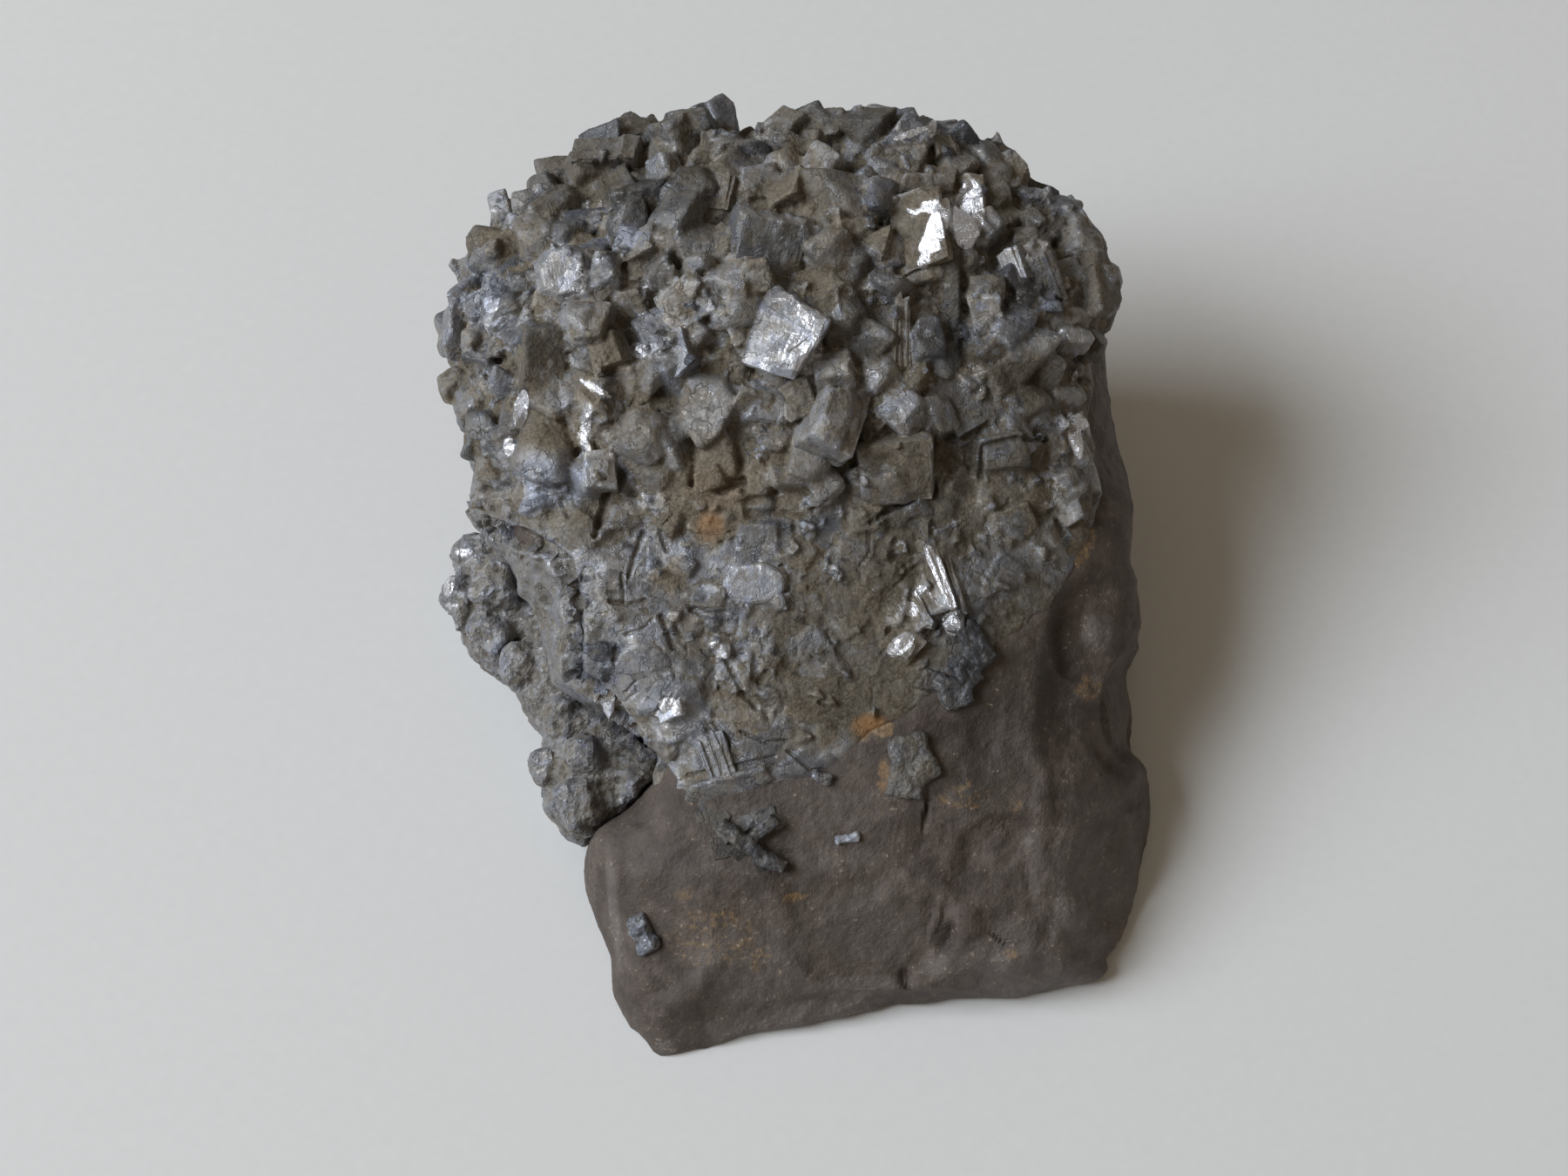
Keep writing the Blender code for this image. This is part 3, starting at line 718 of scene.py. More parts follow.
# %% Raise the bed to the mosaic
FLANK = (605, 705, 130, 240, 0)          # the part of the crust that hangs down beside the left flank
HIGHEST_SQUARE = 2.6
TONES = (0.72, 1.22)                     # darkest and lightest, 1 in between
TINTS = (-0.4, 0.6)                      # coldest and warmest


def raised_share(points):
    """How boldly the crystals stand out: fully above, less to the right, hardly at all below."""
    right, down = pixels(points)
    lower_right = smooth_step((right - 960.0) / 160.0) * smooth_step((down - 380.0) / 100.0)
    return smooth_step((640.0 - down) / 140.0) * (1.0 - 0.5 * lower_right)


points = points_of(bed)
normals = normals_of(bed)
draw = random.Random(21)
coarse = raised_share(points)
spacing = 4.4 - 1.4 * coarse
taper = smooth_step((depth_inside_crust(points) + 0.5) / 5.0)
high = (0.3 + 1.4 * coarse) * (0.35 + 0.65 * taper)
height, square, count = mosaic(points, normals, ~inner, high, spacing, 0.15 + 0.85 * coarse, draw)
height = np.clip(height, -0.12 - 0.48 * coarse, HIGHEST_SQUARE)
relief = np.where(inner, 0.0, height)
move_points(bed, points + normals * relief[:, None])
tones = np.random.default_rng(4).uniform(*TONES, count)
tints = np.random.default_rng(5).uniform(*TINTS, count)
look = np.zeros((len(points), 4))        # tone, tint, shine, roughness
look[:, 0] = tones[square]
look[:, 1] = tints[square] * (1.0 - 0.4 * coarse) + 0.55 * coarse
look[:, 3] = 0.15 + 0.55 * coarse
write(bed, "look", "FLOAT_COLOR", look)
write(bed, "own", "FLOAT_VECTOR", points)
roughen(bed, clouds(0.9, 3), 0.16)
print("bed squares:", count, "triangles:", triangles(bed))

# %% [markdown]
# ## Crystals
# Each crystal of this mineral is a cube whose corners are cut by octahedral faces, but few are perfect:
# they are worn round, split along their planes, stepped or ribbed. A few masters of each kind are modelled
# once, from a cube that planes cut down, and remeshed evenly: sharply where a kind keeps its edges, and
# smoothly where it is worn.

# %% Masters
def cut(place, normal):
    """Slice everything beyond a plane away, in edit mode."""
    bpy.ops.mesh.select_all(action="SELECT")
    bpy.ops.mesh.bisect(plane_co=place, plane_no=normal, clear_outer=True, use_fill=True)


def rough_cube(draw, squareness, corners, deep, height=1.0):
    """A cube about one millimetre wide with each face a few degrees off square and some corners cut."""
    bpy.ops.object.select_all(action="DESELECT")
    bpy.ops.mesh.primitive_cube_add(size=1.3)
    item = bpy.context.object
    bpy.ops.object.mode_set(mode="EDIT")
    for axis in [(1, 0, 0), (-1, 0, 0), (0, 1, 0), (0, -1, 0), (0, 0, 1), (0, 0, -1)]:
        normal = Vector(axis) + Vector([draw.gauss(0.0, squareness) for _ in range(3)])
        reach = 0.5 * (height if axis[2] else 1.0)
        cut(Vector(axis) * reach, normal)
    signs = [(x, y, z) for x in (-1, 1) for y in (-1, 1) for z in (1, 1, -1)]
    draw.shuffle(signs)
    for x, y, z in signs[:corners]:
        normal = Vector((x, y, z)) + Vector([draw.gauss(0.0, 0.15) for _ in range(3)])
        reach = draw.uniform(*deep)
        cut(Vector((x, y, z * height)) * reach, normal)
    bpy.ops.object.mode_set(mode="OBJECT")
    return item


def bevel_edges(item, wide, segments):
    only(item)
    bpy.ops.object.mode_set(mode="EDIT")
    bpy.ops.mesh.select_all(action="SELECT")
    bpy.ops.mesh.remove_doubles(threshold=0.005)
    bpy.ops.mesh.bevel(offset=wide, segments=segments, affect="EDGES", clamp_overlap=True)
    bpy.ops.mesh.normals_make_consistent(inside=False)
    bpy.ops.object.mode_set(mode="OBJECT")


def finish_shape(item, bevel, cells, how="SHARP"):
    """Break the edges, then lay an even mesh over the shape, thinned where it is flat."""
    bevel_edges(item, bevel, 1 if how == "SHARP" else 2)
    modify(item, "REMESH", mode=how, octree_depth=cells, scale=0.95)
    modify(item, "DECIMATE", ratio=0.5)
    return item


def melt_together(parts, name, cell, rounds, keep):
    """One mesh round overlapping parts, softened a little, and thinned to a share of its triangles."""
    item = join(parts, name)
    modify(item, "REMESH", mode="VOXEL", voxel_size=cell)
    soften(item, rounds)
    modify(item, "DECIMATE", ratio=keep)
    return item


def block(draw, cells):
    item = rough_cube(draw, 0.20, draw.randint(3, 5), (0.24, 0.40))
    return finish_shape(item, draw.uniform(0.04, 0.09), cells, "SMOOTH")


def worn(draw, cells):
    item = rough_cube(draw, 0.26, draw.randint(4, 7), (0.24, 0.38))
    finish_shape(item, 0.10, cells, "SMOOTH")
    soften(item, cells)
    return item


def stepped(draw, cells):
    """A crystal whose top rises in uneven steps: blocks of one orientation, set into each other."""
    parts = [rough_cube(draw, 0.10, 2, (0.30, 0.42))]
    for number in range(3):
        step = rough_cube(draw, 0.08, 2, (0.28, 0.40))
        wide, long = draw.uniform(0.35, 0.75), draw.uniform(0.35, 0.75)
        move = Vector((draw.uniform(-0.22, 0.22), draw.uniform(-0.22, 0.22), 0.05 + 0.05 * number))
        step.data.transform(Matrix.Translation(move) @ Matrix.Diagonal((wide, long, 1.0, 1.0)))
        parts.append(step)
    return melt_together(parts, "stepped", 0.5 ** cells, 2, 0.5)


def ribbed(draw, cells):
    """A crystal split along its planes: slices side by side that end at uneven heights."""
    core = rough_cube(draw, 0.05, 1, (0.34, 0.42))
    core.data.transform(Matrix.Diagonal((0.96, 0.9, 0.86, 1.0)))
    parts = [core]
    edge = -0.5
    while edge < 0.42:
        thick = draw.uniform(0.09, 0.2)
        item = rough_cube(draw, 0.04, 1, (0.36, 0.44))
        low = draw.choice([0.0, 0.04, 0.10, 0.16])
        place = Vector((edge + thick / 2.0, draw.uniform(-0.05, 0.05), -low / 2.0))
        long = draw.uniform(0.86, 1.04)
        item.data.transform(Matrix.Translation(place) @ Matrix.Diagonal((thick, long, 1.0 - low, 1.0)))
        parts.append(item)
        edge += thick + draw.choice([-0.01, 0.02, 0.04])
    return melt_together(parts, "ribbed", 0.6 * 0.5 ** cells, 1, 0.35)


def plate(draw, cells):
    item = rough_cube(draw, 0.05, 2, (0.34, 0.42), height=0.42)
    return finish_shape(item, 0.02, cells)


def cut_round(item, draw, sides, stray, rise, place_on):
    """Cut all round a shape with planes that face out and up, each through a place on its own normal."""
    only(item)
    bpy.ops.object.mode_set(mode="EDIT")
    for number in range(sides):
        turn = 2.0 * math.pi * (number + draw.uniform(-stray, stray)) / sides
        normal = Vector((math.cos(turn), math.sin(turn), rise))
        cut(place_on(normal), normal)
    bpy.ops.object.mode_set(mode="OBJECT")


def point(draw, cells):
    """A corner of an octahedron: three or four slanting faces that meet near the top."""
    item = rough_cube(draw, 0.05, 0, (0.4, 0.4))
    cut_round(item, draw, draw.choice([3, 4]), 0.1, 0.75, lambda normal: normal.normalized() * 0.33)
    return finish_shape(item, 0.02, cells)


def disc(draw, cells):
    """A plate worn round."""
    item = rough_cube(draw, 0.06, 0, (0.3, 0.4))
    cut_round(item, draw, 8, 0.2, 0.2, lambda normal: normal * draw.uniform(0.43, 0.5))
    return finish_shape(item, 0.05, cells, "SMOOTH")


def chip(draw, cells):
    """A crumb: few faces, because there are many of them."""
    item = rough_cube(draw, 0.25, 2, (0.22, 0.36))
    bevel_edges(item, 0.03, 1)
    return item


# %% Model the masters, finely for the larger crystals and coarsely for the smaller
KINDS = (block, worn, stepped, ribbed, plate, point, disc)
VARIANTS = 5


def make_masters(kinds, variants, cells, seed):
    draw = random.Random(seed)
    masters = {model.__name__: [model(draw, cells) for _ in range(variants)] for model in kinds}
    for name, items in masters.items():
        print(name, [triangles(item) for item in items])
    return masters


large_masters = make_masters(KINDS, VARIANTS, 4, 31)
small_masters = make_masters(KINDS, VARIANTS, 3, 32)
chips = make_masters((chip,), 12, 0, 33)["chip"]

# %% Set a crystal in place
# share of the shine, and so of the painted highlight, on each side: the top side gets it all
ONE_SIDE_BRIGHT = (0.3, 0.3, 0.3, 0.3, 0.3, 1.0)
CRYSTAL_ROUGH = 0.12
TARNISH = (0.78, 1.22)
OWN_DRIFT = 0.37                         # shifts the texture from crystal to crystal, by their places


def axes_out(out, spin, lean, roll):
    """Axes with z out of the surface: spun about it, then leaned and rolled, in degrees."""
    along = (ACROSS - out * ACROSS.dot(out)).normalized()
    base = Matrix((along, out.cross(along), out)).transposed()
    turn = Matrix.Rotation(math.radians(spin), 3, "Z") @ Matrix.Rotation(math.radians(lean), 3, "X")
    return base @ turn @ Matrix.Rotation(math.radians(roll), 3, "Y")


def set_crystal(master, place, axes, size, look, draw):
    """A copy of a master, sized and turned, with its own coordinates and look stored on its points.

    Each of its six sides is tarnished a little differently, and only the top one gets the full shine, which
    the finish paints as a near-white highlight.
    """
    item = copy_of(master, "crystal")
    local = points_of(item) * np.array(size)
    normals = normals_of(item)
    move_points(item, local @ np.array(axes).T + np.array(place))
    write(item, "own", "FLOAT_VECTOR", local + np.array(place) * OWN_DRIFT)
    axis = np.argmax(np.abs(normals), axis=1)
    side = axis * 2 + (normals[np.arange(len(normals)), axis] > 0)
    tarnish = np.array([draw.uniform(*TARNISH) for _ in range(6)])
    tone, tint, shine = look
    values = np.empty((len(local), 4))
    values[:, 0] = tone * tarnish[side]
    values[:, 1] = tint
    values[:, 2] = shine * np.array(ONE_SIDE_BRIGHT)[side]
    values[:, 3] = CRYSTAL_ROUGH
    write(item, "look", "FLOAT_COLOR", values)
    return item


# %% [markdown]
# ### The larger crystals, one by one
# These are placed by pixel: where each lies, how wide and long it is, how it is turned, what kind it is,
# and how dark, how warm and how bright its faces are. Bright ones are fresh cleavage faces, with less dust,
# and their shine also paints them near white as a highlight.

# %% Larger crystals
# px, py, wide, long, spin, kind, tone, then tint (cold -1 to warm +1) and shine where they aren't 0
CRYSTALS = [
    # top left
    (641, 182, 48, 42, 10, "block", 0.85, 0.3), (692, 153, 54, 28, 8, "plate", 0.6, -0.2),
    (745, 150, 50, 30, -4, "block", 1.0), (700, 180, 78, 32, -4, "ribbed", 0.9, 0.3, 0.1),
    (752, 184, 15, 34, 0, "plate", 1.2, 0.5), (628, 218, 28, 28, 20, "block", 0.6, 0.1),
    (648, 228, 18, 26, 5, "block", 1.1, 0.6), (718, 225, 44, 56, 40, "ribbed", 0.9, 0.0, 0.25),
    (769, 228, 16, 54, -5, "plate", 1.3, 0.3), (675, 260, 42, 34, 10, "block", 0.6, -0.5, 0.1),
    (640, 260, 32, 32, 30, "stepped", 1.2, 0.1, 0.3), (605, 235, 32, 32, 5, "block", 1.0),
    (579, 247, 24, 50, 12, "plate", 1.2, 0.0, 0.1), (562, 262, 38, 44, 30, "worn", 0.9, 0.3),
    (560, 297, 42, 32, 15, "worn", 1.0, -0.3), (545, 315, 30, 40, 20, "block", 0.9),
    (571, 324, 30, 28, 40, "block", 1.0, 0.1), (601, 325, 24, 24, 0, "block", 0.6, 0.2),
    (626, 326, 30, 32, 15, "block", 1.0, 0.1), (650, 318, 64, 64, 8, "disc", 1.35, -0.1, 0.3),
    (695, 316, 32, 50, -12, "block", 1.0, 0.0, 0.1), (720, 282, 22, 38, -20, "block", 1.3, -0.5, 0.1),
    (740, 284, 38, 36, 10, "block", 1.2, 0.5), (717, 304, 26, 30, 0, "point", 0.5, 0.1),
    (722, 336, 46, 32, -5, "block", 1.0, 0.1), (757, 317, 36, 32, 15, "worn", 0.6, 0.1),
    (790, 330, 24, 24, 40, "block", 1.1, 0.5, 0.2), (576, 371, 36, 24, 10, "block", 1.4, 0.1, 0.1),
    (587, 353, 26, 34, -20, "block", 0.55, 0.4), (609, 365, 20, 20, 0, "worn", 1.1, 0.0, 0.5),
    (522, 385, 26, 72, 5, "worn", 1.0), (552, 352, 34, 32, 20, "block", 0.9, 0.1),
    (622, 414, 48, 78, 6, "block", 0.55, 0.35), (634, 394, 14, 44, 28, "plate", 1.2),
    (650, 392, 12, 70, 30, "plate", 1.3, -0.1, 0.1), (658, 380, 16, 48, 15, "plate", 0.6, 0.1),
    (682, 373, 36, 46, -5, "block", 1.1, 0.4), (755, 392, 36, 54, 30, "stepped", 1.3, -0.3, 0.25),
    (785, 407, 30, 50, 28, "block", 1.3, -0.2, 0.35), (700, 405, 36, 34, 20, "stepped", 0.9, 0.4, 0.1),
    # top middle
    (792, 146, 56, 32, 5, "block", 0.6), (839, 175, 42, 30, 0, "block", 1.1, 0.4),
    (898, 150, 54, 38, 30, "block", 1.0, 0.3), (928, 133, 46, 30, 10, "block", 0.55),
    (915, 164, 34, 90, -43, "plate", 0.8, 0.2), (956, 147, 28, 42, 0, "block", 1.1, 0.5),
    (1000, 122, 42, 28, 0, "block", 1.0, 0.3), (992, 149, 56, 38, 0, "block", 0.55, 0.4),
    (1010, 173, 16, 18, 0, "point", 1.4, 0.2), (799, 216, 46, 44, -6, "block", 0.5, 0.2),
    (768, 222, 14, 38, 5, "plate", 1.3, 0.1), (835, 225, 24, 42, -5, "ribbed", 0.9, 0.2, 0.1),
    (887, 278, 94, 62, -10, "ribbed", 0.95, -0.2, 0.15), (908, 222, 42, 44, 5, "block", 1.2, 0.3),
    (952, 224, 90, 54, -12, "worn", 0.7, 0.2), (985, 262, 32, 42, 10, "block", 0.5, 0.4),
    (966, 262, 26, 32, 0, "block", 1.4, 0.5), (967, 312, 62, 68, 35, "block", 1.0),
    (1015, 288, 32, 44, 20, "point", 1.1, 0.4), (800, 292, 42, 52, -5, "block", 0.9, 0.1, 0.1),
    (838, 330, 27, 27, 45, "block", 1.1), (870, 318, 32, 38, 10, "block", 1.1, 0.5),
    (904, 386, 68, 80, -24, "block", 1.1, 0.0, 0.31), (966, 372, 56, 60, 20, "block", 0.45, 0.2),
    (845, 380, 14, 34, 15, "plate", 1.2, 0.2), (1012, 385, 18, 76, 0, "plate", 1.0, 0.1),
    (1034, 385, 18, 76, 0, "ribbed", 1.0, 0.1), (820, 350, 34, 30, 10, "block", 0.7, 0.2),
    # top right
    (1040, 144, 32, 28, 10, "block", 0.9, -0.2), (1075, 142, 44, 28, 0, "worn", 0.9, -0.3, 0.1),
    (1048, 157, 46, 12, -20, "plate", 1.3, 0.0, 0.2), (1040, 182, 44, 40, 5, "block", 1.1, 0.4),
    (1082, 174, 28, 28, 10, "ribbed", 1.0, 0.4), (1105, 172, 40, 60, 35, "block", 0.6, -0.2),
    (1140, 172, 42, 34, -20, "block", 0.55, 0.1), (1142, 202, 38, 32, 0, "block", 0.8, 0.4),
    (1142, 230, 36, 36, 10, "block", 1.0, 0.4), (1185, 210, 52, 38, -20, "block", 0.4, 0.1),
    (1185, 230, 32, 26, 10, "block", 0.9, -0.3), (1218, 247, 42, 42, 20, "worn", 0.9, -0.2),
    (1185, 254, 24, 28, 0, "block", 1.0, 0.4), (1208, 266, 28, 32, 0, "block", 0.5, 0.1),
    (1185, 283, 28, 28, 20, "worn", 1.3, 0.1, 0.1), (1230, 277, 24, 32, 0, "block", 0.9, 0.3),
    (1254, 314, 44, 100, 4, "worn", 0.6, 0.3), (1228, 326, 34, 54, 20, "plate", 1.0, -0.2),
    (1167, 308, 28, 38, 15, "ribbed", 1.3, 0.1, 0.3), (1197, 316, 36, 62, 25, "ribbed", 1.0),
    (1200, 354, 26, 20, 0, "block", 1.3, -0.6), (1226, 367, 56, 26, 8, "block", 1.0, 0.3),
    (1233, 390, 42, 24, 4, "block", 1.4, 0.1, 0.1), (1132, 330, 38, 26, 0, "block", 0.8, 0.4),
    (1130, 349, 32, 28, 10, "block", 1.1, 0.3, 0.1), (1130, 373, 24, 28, 0, "block", 1.0, 0.2),
    (1157, 379, 36, 48, -20, "worn", 1.1, -0.4), (1180, 406, 66, 40, 38, "block", 1.0, 0.1),
    (1058, 266, 58, 84, 12, "plate", 1.0, 0.7, 0.32), (1111, 246, 44, 80, 4, "plate", 1.3, 0.4, 0.32),
    (1052, 212, 38, 24, 0, "block", 1.0, 0.5), (1081, 211, 26, 32, 0, "block", 1.0, 0.5),
    (1087, 260, 16, 64, 8, "plate", 0.45, 0.3), (1092, 360, 18, 118, 0, "plate", 0.4, 0.2),
    (1065, 391, 32, 44, 10, "block", 0.8), (1110, 300, 30, 30, 30, "block", 0.8, 0.3),
    # middle rows
    (684, 464, 38, 38, 0, "point", 1.1, 0.1, 0.1), (697, 490, 32, 46, 5, "block", 0.5, 0.2),
    (675, 503, 13, 36, 8, "worn", 1.6, 0.0, 0.4), (738, 498, 54, 58, 10, "worn", 1.0, 0.1),
    (729, 489, 20, 24, 0, "worn", 0.6, -0.1), (719, 529, 22, 28, 0, "worn", 1.0, -0.6),
    (688, 541, 38, 40, 0, "stepped", 1.3, 0.1, 0.3), (628, 512, 64, 96, 5, "worn", 1.0, 0.45),
    (618, 580, 44, 24, 10, "worn", 1.2, -0.7, 0.2), (813, 453, 62, 80, 28, "worn", 0.75, 0.3, 0.1),
    (782, 440, 36, 74, 28, "block", 1.1, -0.4, 0.2), (957, 476, 54, 106, -28, "stepped", 1.0, 0.1),
    (815, 550, 32, 24, 20, "block", 0.8), (870, 549, 24, 38, 0, "block", 0.8, 0.2),
    (770, 553, 42, 56, -15, "block", 0.7, 0.4), (860, 468, 34, 62, -22, "plate", 1.1, 0.4),
    (917, 456, 38, 40, 20, "stepped", 1.0, 0.2), (905, 541, 44, 42, 0, "block", 1.0, 0.1),
    (947, 556, 34, 40, 10, "block", 0.9), (1105, 456, 58, 70, 32, "plate", 0.9, -0.1, 0.15),
    (1012, 444, 26, 28, 40, "block", 1.0), (1027, 471, 12, 46, 25, "plate", 1.1, 0.4),
    (1168, 462, 64, 58, 10, "block", 0.8, 0.4), (1150, 520, 56, 38, 10, "block", 0.8, 0.2),
    (1240, 487, 24, 16, 0, "worn", 1.4, 0.0, 0.3), (1205, 549, 24, 28, 0, "worn", 1.3, -0.1, 0.3),
    (1222, 576, 30, 46, 30, "block", 1.3, -0.2, 0.1), (1236, 525, 30, 42, 0, "block", 0.9, 0.1),
    (1028, 536, 84, 64, 10, "stepped", 0.9, 0.1), (1028, 592, 48, 32, 15, "worn", 0.6, 0.2),
    (1063, 602, 28, 36, -20, "point", 1.0, -0.2), (1165, 602, 50, 40, 20, "block", 0.8, 0.5),
    # lower rows
    (680, 679, 42, 36, 0, "block", 0.6, -0.1), (864, 670, 76, 50, 4, "disc", 1.5, -0.35, 0.2),
    (888, 680, 24, 32, 0, "worn", 1.3, 0.0, 0.1), (762, 682, 22, 46, -12, "plate", 0.6, -0.5, 0.1),
    (816, 681, 36, 28, 0, "block", 0.8, 0.4), (825, 740, 24, 20, -15, "worn", 2.0, -0.2, 0.4),
    (740, 748, 54, 36, 0, "worn", 1.0, 0.0, 0.2), (850, 769, 22, 48, 0, "block", 1.1, 0.1),
    (892, 753, 24, 58, 0, "plate", 1.1, 0.3), (871, 770, 18, 50, 0, "plate", 0.5, 0.5),
    (680, 760, 40, 42, 0, "block", 0.6, -0.3, 0.1), (758, 800, 82, 70, 12, "block", 1.05, -0.1),
    (770, 811, 30, 24, 20, "block", 1.8, 0.0, 0.4), (702, 808, 20, 42, -12, "block", 1.5, 0.1, 0.1),
    (797, 862, 30, 60, 25, "plate", 1.0), (822, 867, 30, 50, 20, "ribbed", 1.1, -0.2, 0.3),
    (772, 847, 40, 32, 0, "block", 0.9, 0.1, 0.1), (838, 902, 96, 30, 15, "block", 0.9),
    (1064, 664, 44, 84, 20, "ribbed", 1.3, 0.1, 0.35), (1088, 668, 26, 78, 16, "ribbed", 1.4, 0.0, 0.35),
    (1048, 706, 34, 40, 30, "ribbed", 1.2, 0.1, 0.35), (1036, 738, 36, 34, -40, "stepped", 1.4, 0.3, 0.3),
    (1092, 710, 28, 36, -20, "block", 1.0, 0.4, 0.35), (1030, 692, 20, 44, -5, "block", 1.2, -0.3, 0.1),
    (1046, 688, 12, 40, 15, "plate", 1.0, 0.1, 0.2), (1102, 648, 18, 62, 10, "plate", 0.9, 0.2),
]
FACES_EYE = 1.2                          # how far a crystal's top turns from the surface to the eye
MIRROR = (OUT_OF_FACE + toward_window).normalized()     # a face turned this way mirrors the window
MIRRORS_ABOVE = 0.315                    # the shine from which a crystal is turned so
EDGE_STEP = 6                            # pixels down, where a line of sight passes over the top edge
SIGHT_STEPS = 14
STANDS_OUT_BEFORE = 790                  # pixels: right of it, what stands on the top edge is lower
HEIGHTS = {"plate": 0.5, "disc": 0.3}    # share of a crystal's mean width, 0.8 for the other kinds
HAVE_EDGES = ("ribbed", "stepped", "point", "disc")
OVERSIZE = 1.08                          # the rounding of the edges takes about this much away
EDGES_STAND = 0.3                        # crisp crystals stand this much further out, in millimetres
DISC_ROLL = -3.0


def meet_bed(px, py):
    """Where the line of sight through a pixel meets the bed, or the nearest such place below it, and
    how many pixels lower that is."""
    for step in range(SIGHT_STEPS):
        drop = step * EDGE_STEP
        place, normal, _, _ = bed_tree.ray_cast(EYE, sight(px, py + drop))
        if place is not None:
            return place + UP_FACE * (0.2 * drop / PIXELS_PER_MM), normal, drop
    raise ValueError(f"no bed under {px}, {py}")


bed_tree = surface_tree(bed)
draw = random.Random(41)
placed = []
large_crystals = []
crisp_crystals = []
for px, py, wide, long, spin, kind, tone, *more in CRYSTALS:
    tint, shine = (*more, 0.0, 0.0)[:2]
    place, normal, drop = meet_bed(px, py)
    out = (normal + OUT_OF_FACE * FACES_EYE).normalized()
    width, length = wide / PIXELS_PER_MM, long / PIXELS_PER_MM
    mean = min(width, length) * 0.6 + max(width, length) * 0.4
    high = mean * HEIGHTS.get(kind, 0.8)
    bold = float(raised_share(np.array([place]))[0])
    steep = 3.0 + 17.0 * bold            # degrees
    lean, roll = draw.uniform(-steep, steep), draw.uniform(-steep, steep)
    if kind == "disc":
        lean, roll = 0.0, DISC_ROLL
    elif shine > MIRRORS_ABOVE:
        out = (out + MIRROR * 4.0).normalized()
        lean, roll = draw.uniform(-4.0, 4.0), draw.uniform(-4.0, 4.0)
    axes = axes_out(out, spin, lean, roll)
    master = large_masters[kind][draw.randrange(VARIANTS)]
    size = (width * OVERSIZE, length * OVERSIZE, high)
    proud = 0.32 + bold * (min(0.45 * mean, 1.1 + 0.17 * mean) - 0.1)
    has_edges = shine > 0.3 or kind in HAVE_EDGES
    if has_edges:
        proud += EDGES_STAND
    if drop > 0 and px > STANDS_OUT_BEFORE:
        proud *= 0.5
    middle = place + out * float(proud - high / 2.0)
    item = set_crystal(master, middle, axes, size, (tone, tint, shine), draw)
    (crisp_crystals if has_edges else large_crystals).append(item)
    placed.append((np.array(middle), mean / 2.0))
print("larger crystals:", len(large_crystals), "with crisp edges:", len(crisp_crystals))

# %% [markdown]
# ### Crystals in between
# The gaps are filled with smaller crystals, drawn at random with a fixed seed, each set where it does not
# stand in a larger one. They cover the back and the left side too, where the crust turns over the edge.

# %% Smaller crystals
SMALL_KINDS = ["block"] * 3 + ["worn"] * 2 + ["stepped", "ribbed", "plate", "point"]

points = points_of(bed)
normals = normals_of(bed)
usable = ~inner & (depth_inside_crust(points) > 1.5)
candidates = np.flatnonzero(usable)
across, up, _ = face_coordinates(points[candidates])
coarse = smooth_step((up + 6.0) / 26.0)
spacing = 2.3 + 1.3 * coarse
draw = random.Random(52)
small_crystals = []
for number in scatter(points[candidates], spacing, draw):
    index = candidates[number]
    place = points[index]
    if any(np.linalg.norm(place - other) < radius * 0.7 for other, radius in placed):
        continue
    if inside_ellipse(points[index:index + 1], *FLANK)[0] > 0.1:
        continue
    bold = float(raised_share(points[index:index + 1])[0])
    if draw.random() > 0.15 + 0.85 * bold:
        continue
    width = spacing[number] * draw.uniform(0.8, 1.6)
    out = Vector(normals[index])
    kind = draw.choice(SMALL_KINDS)
    steep = 6.0 + 14.0 * bold
    axes = axes_out(out, draw.uniform(0, 360), draw.gauss(0, steep), draw.gauss(0, steep))
    high = width * draw.uniform(0.6, 0.95)
    size = (width, width * draw.uniform(0.8, 1.5), high)
    look = (draw.uniform(0.7, 1.2), draw.uniform(*TINTS), max(0.0, draw.gauss(-0.35, 0.3)))
    seen_flat = min(max(out.dot(OUT_OF_FACE) / 0.7, 0.0), 1.0)
    proud = 0.2 + bold * width * draw.uniform(0.05, 0.42) * (0.4 + 0.6 * seen_flat)
    middle = Vector(place) + out * (proud - high / 2.0)
    master = small_masters[kind][draw.randrange(VARIANTS)]
    small_crystals.append(set_crystal(master, middle, axes, size, look, draw))
print("smaller crystals:", len(small_crystals))

# %% Crumbs
CRUMBS = 1100

draw = random.Random(63)
crumbs = []
hosts = large_crystals + crisp_crystals
while len(crumbs) < CRUMBS:
    if draw.random() < 0.75:
        index = draw.choice(candidates)
        place, out = Vector(points[index]), Vector(normals[index])
    else:
        vertex = draw.choice(draw.choice(hosts).data.vertices)
        place, out = vertex.co.copy(), vertex.normal.copy()
    if out.dot(OUT_OF_FACE) < 0.2 or depth_inside_crust(np.array([place]))[0] < 0.5:
        continue
    if draw.random() > 0.5 + 0.5 * raised_share(np.array([place]))[0]:
        continue
    wide = draw.uniform(0.5, 1.5)
    axes = axes_out(out, draw.uniform(0, 360), draw.gauss(0, 25), draw.gauss(0, 25))
    size = (wide, wide * draw.uniform(0.6, 1.4), wide * 0.8)
    look = (draw.uniform(0.55, 1.3), draw.uniform(-0.6, 0.7), 0.0)
    crumbs.append(set_crystal(draw.choice(chips), place, axes, size, look, draw))
print("crumbs:", len(crumbs))

# %% [markdown]
# ### Growing together
# Real crystals of a druse share their feet, and dust fills the corners between them. A voxel remesh of the
# bed and all the crystals at once makes one skin. A smoothed copy of that skin shows where it is hollow:
# there the points rise towards it, and the amount they rise is stored as dust. A remesh forgets what was
# stored on the points, so each new point takes its look from the nearest old one. Crystals that need crisp
# edges, ribs or steps stand in this skin as they were modelled, with a slightly smaller copy inside it.

# %% One skin
SKIN_CELL = 0.28
SKIN_PARTS = 4
SKIN_LIMIT = 176000                      # triangles in each part
SHRINK = 0.92


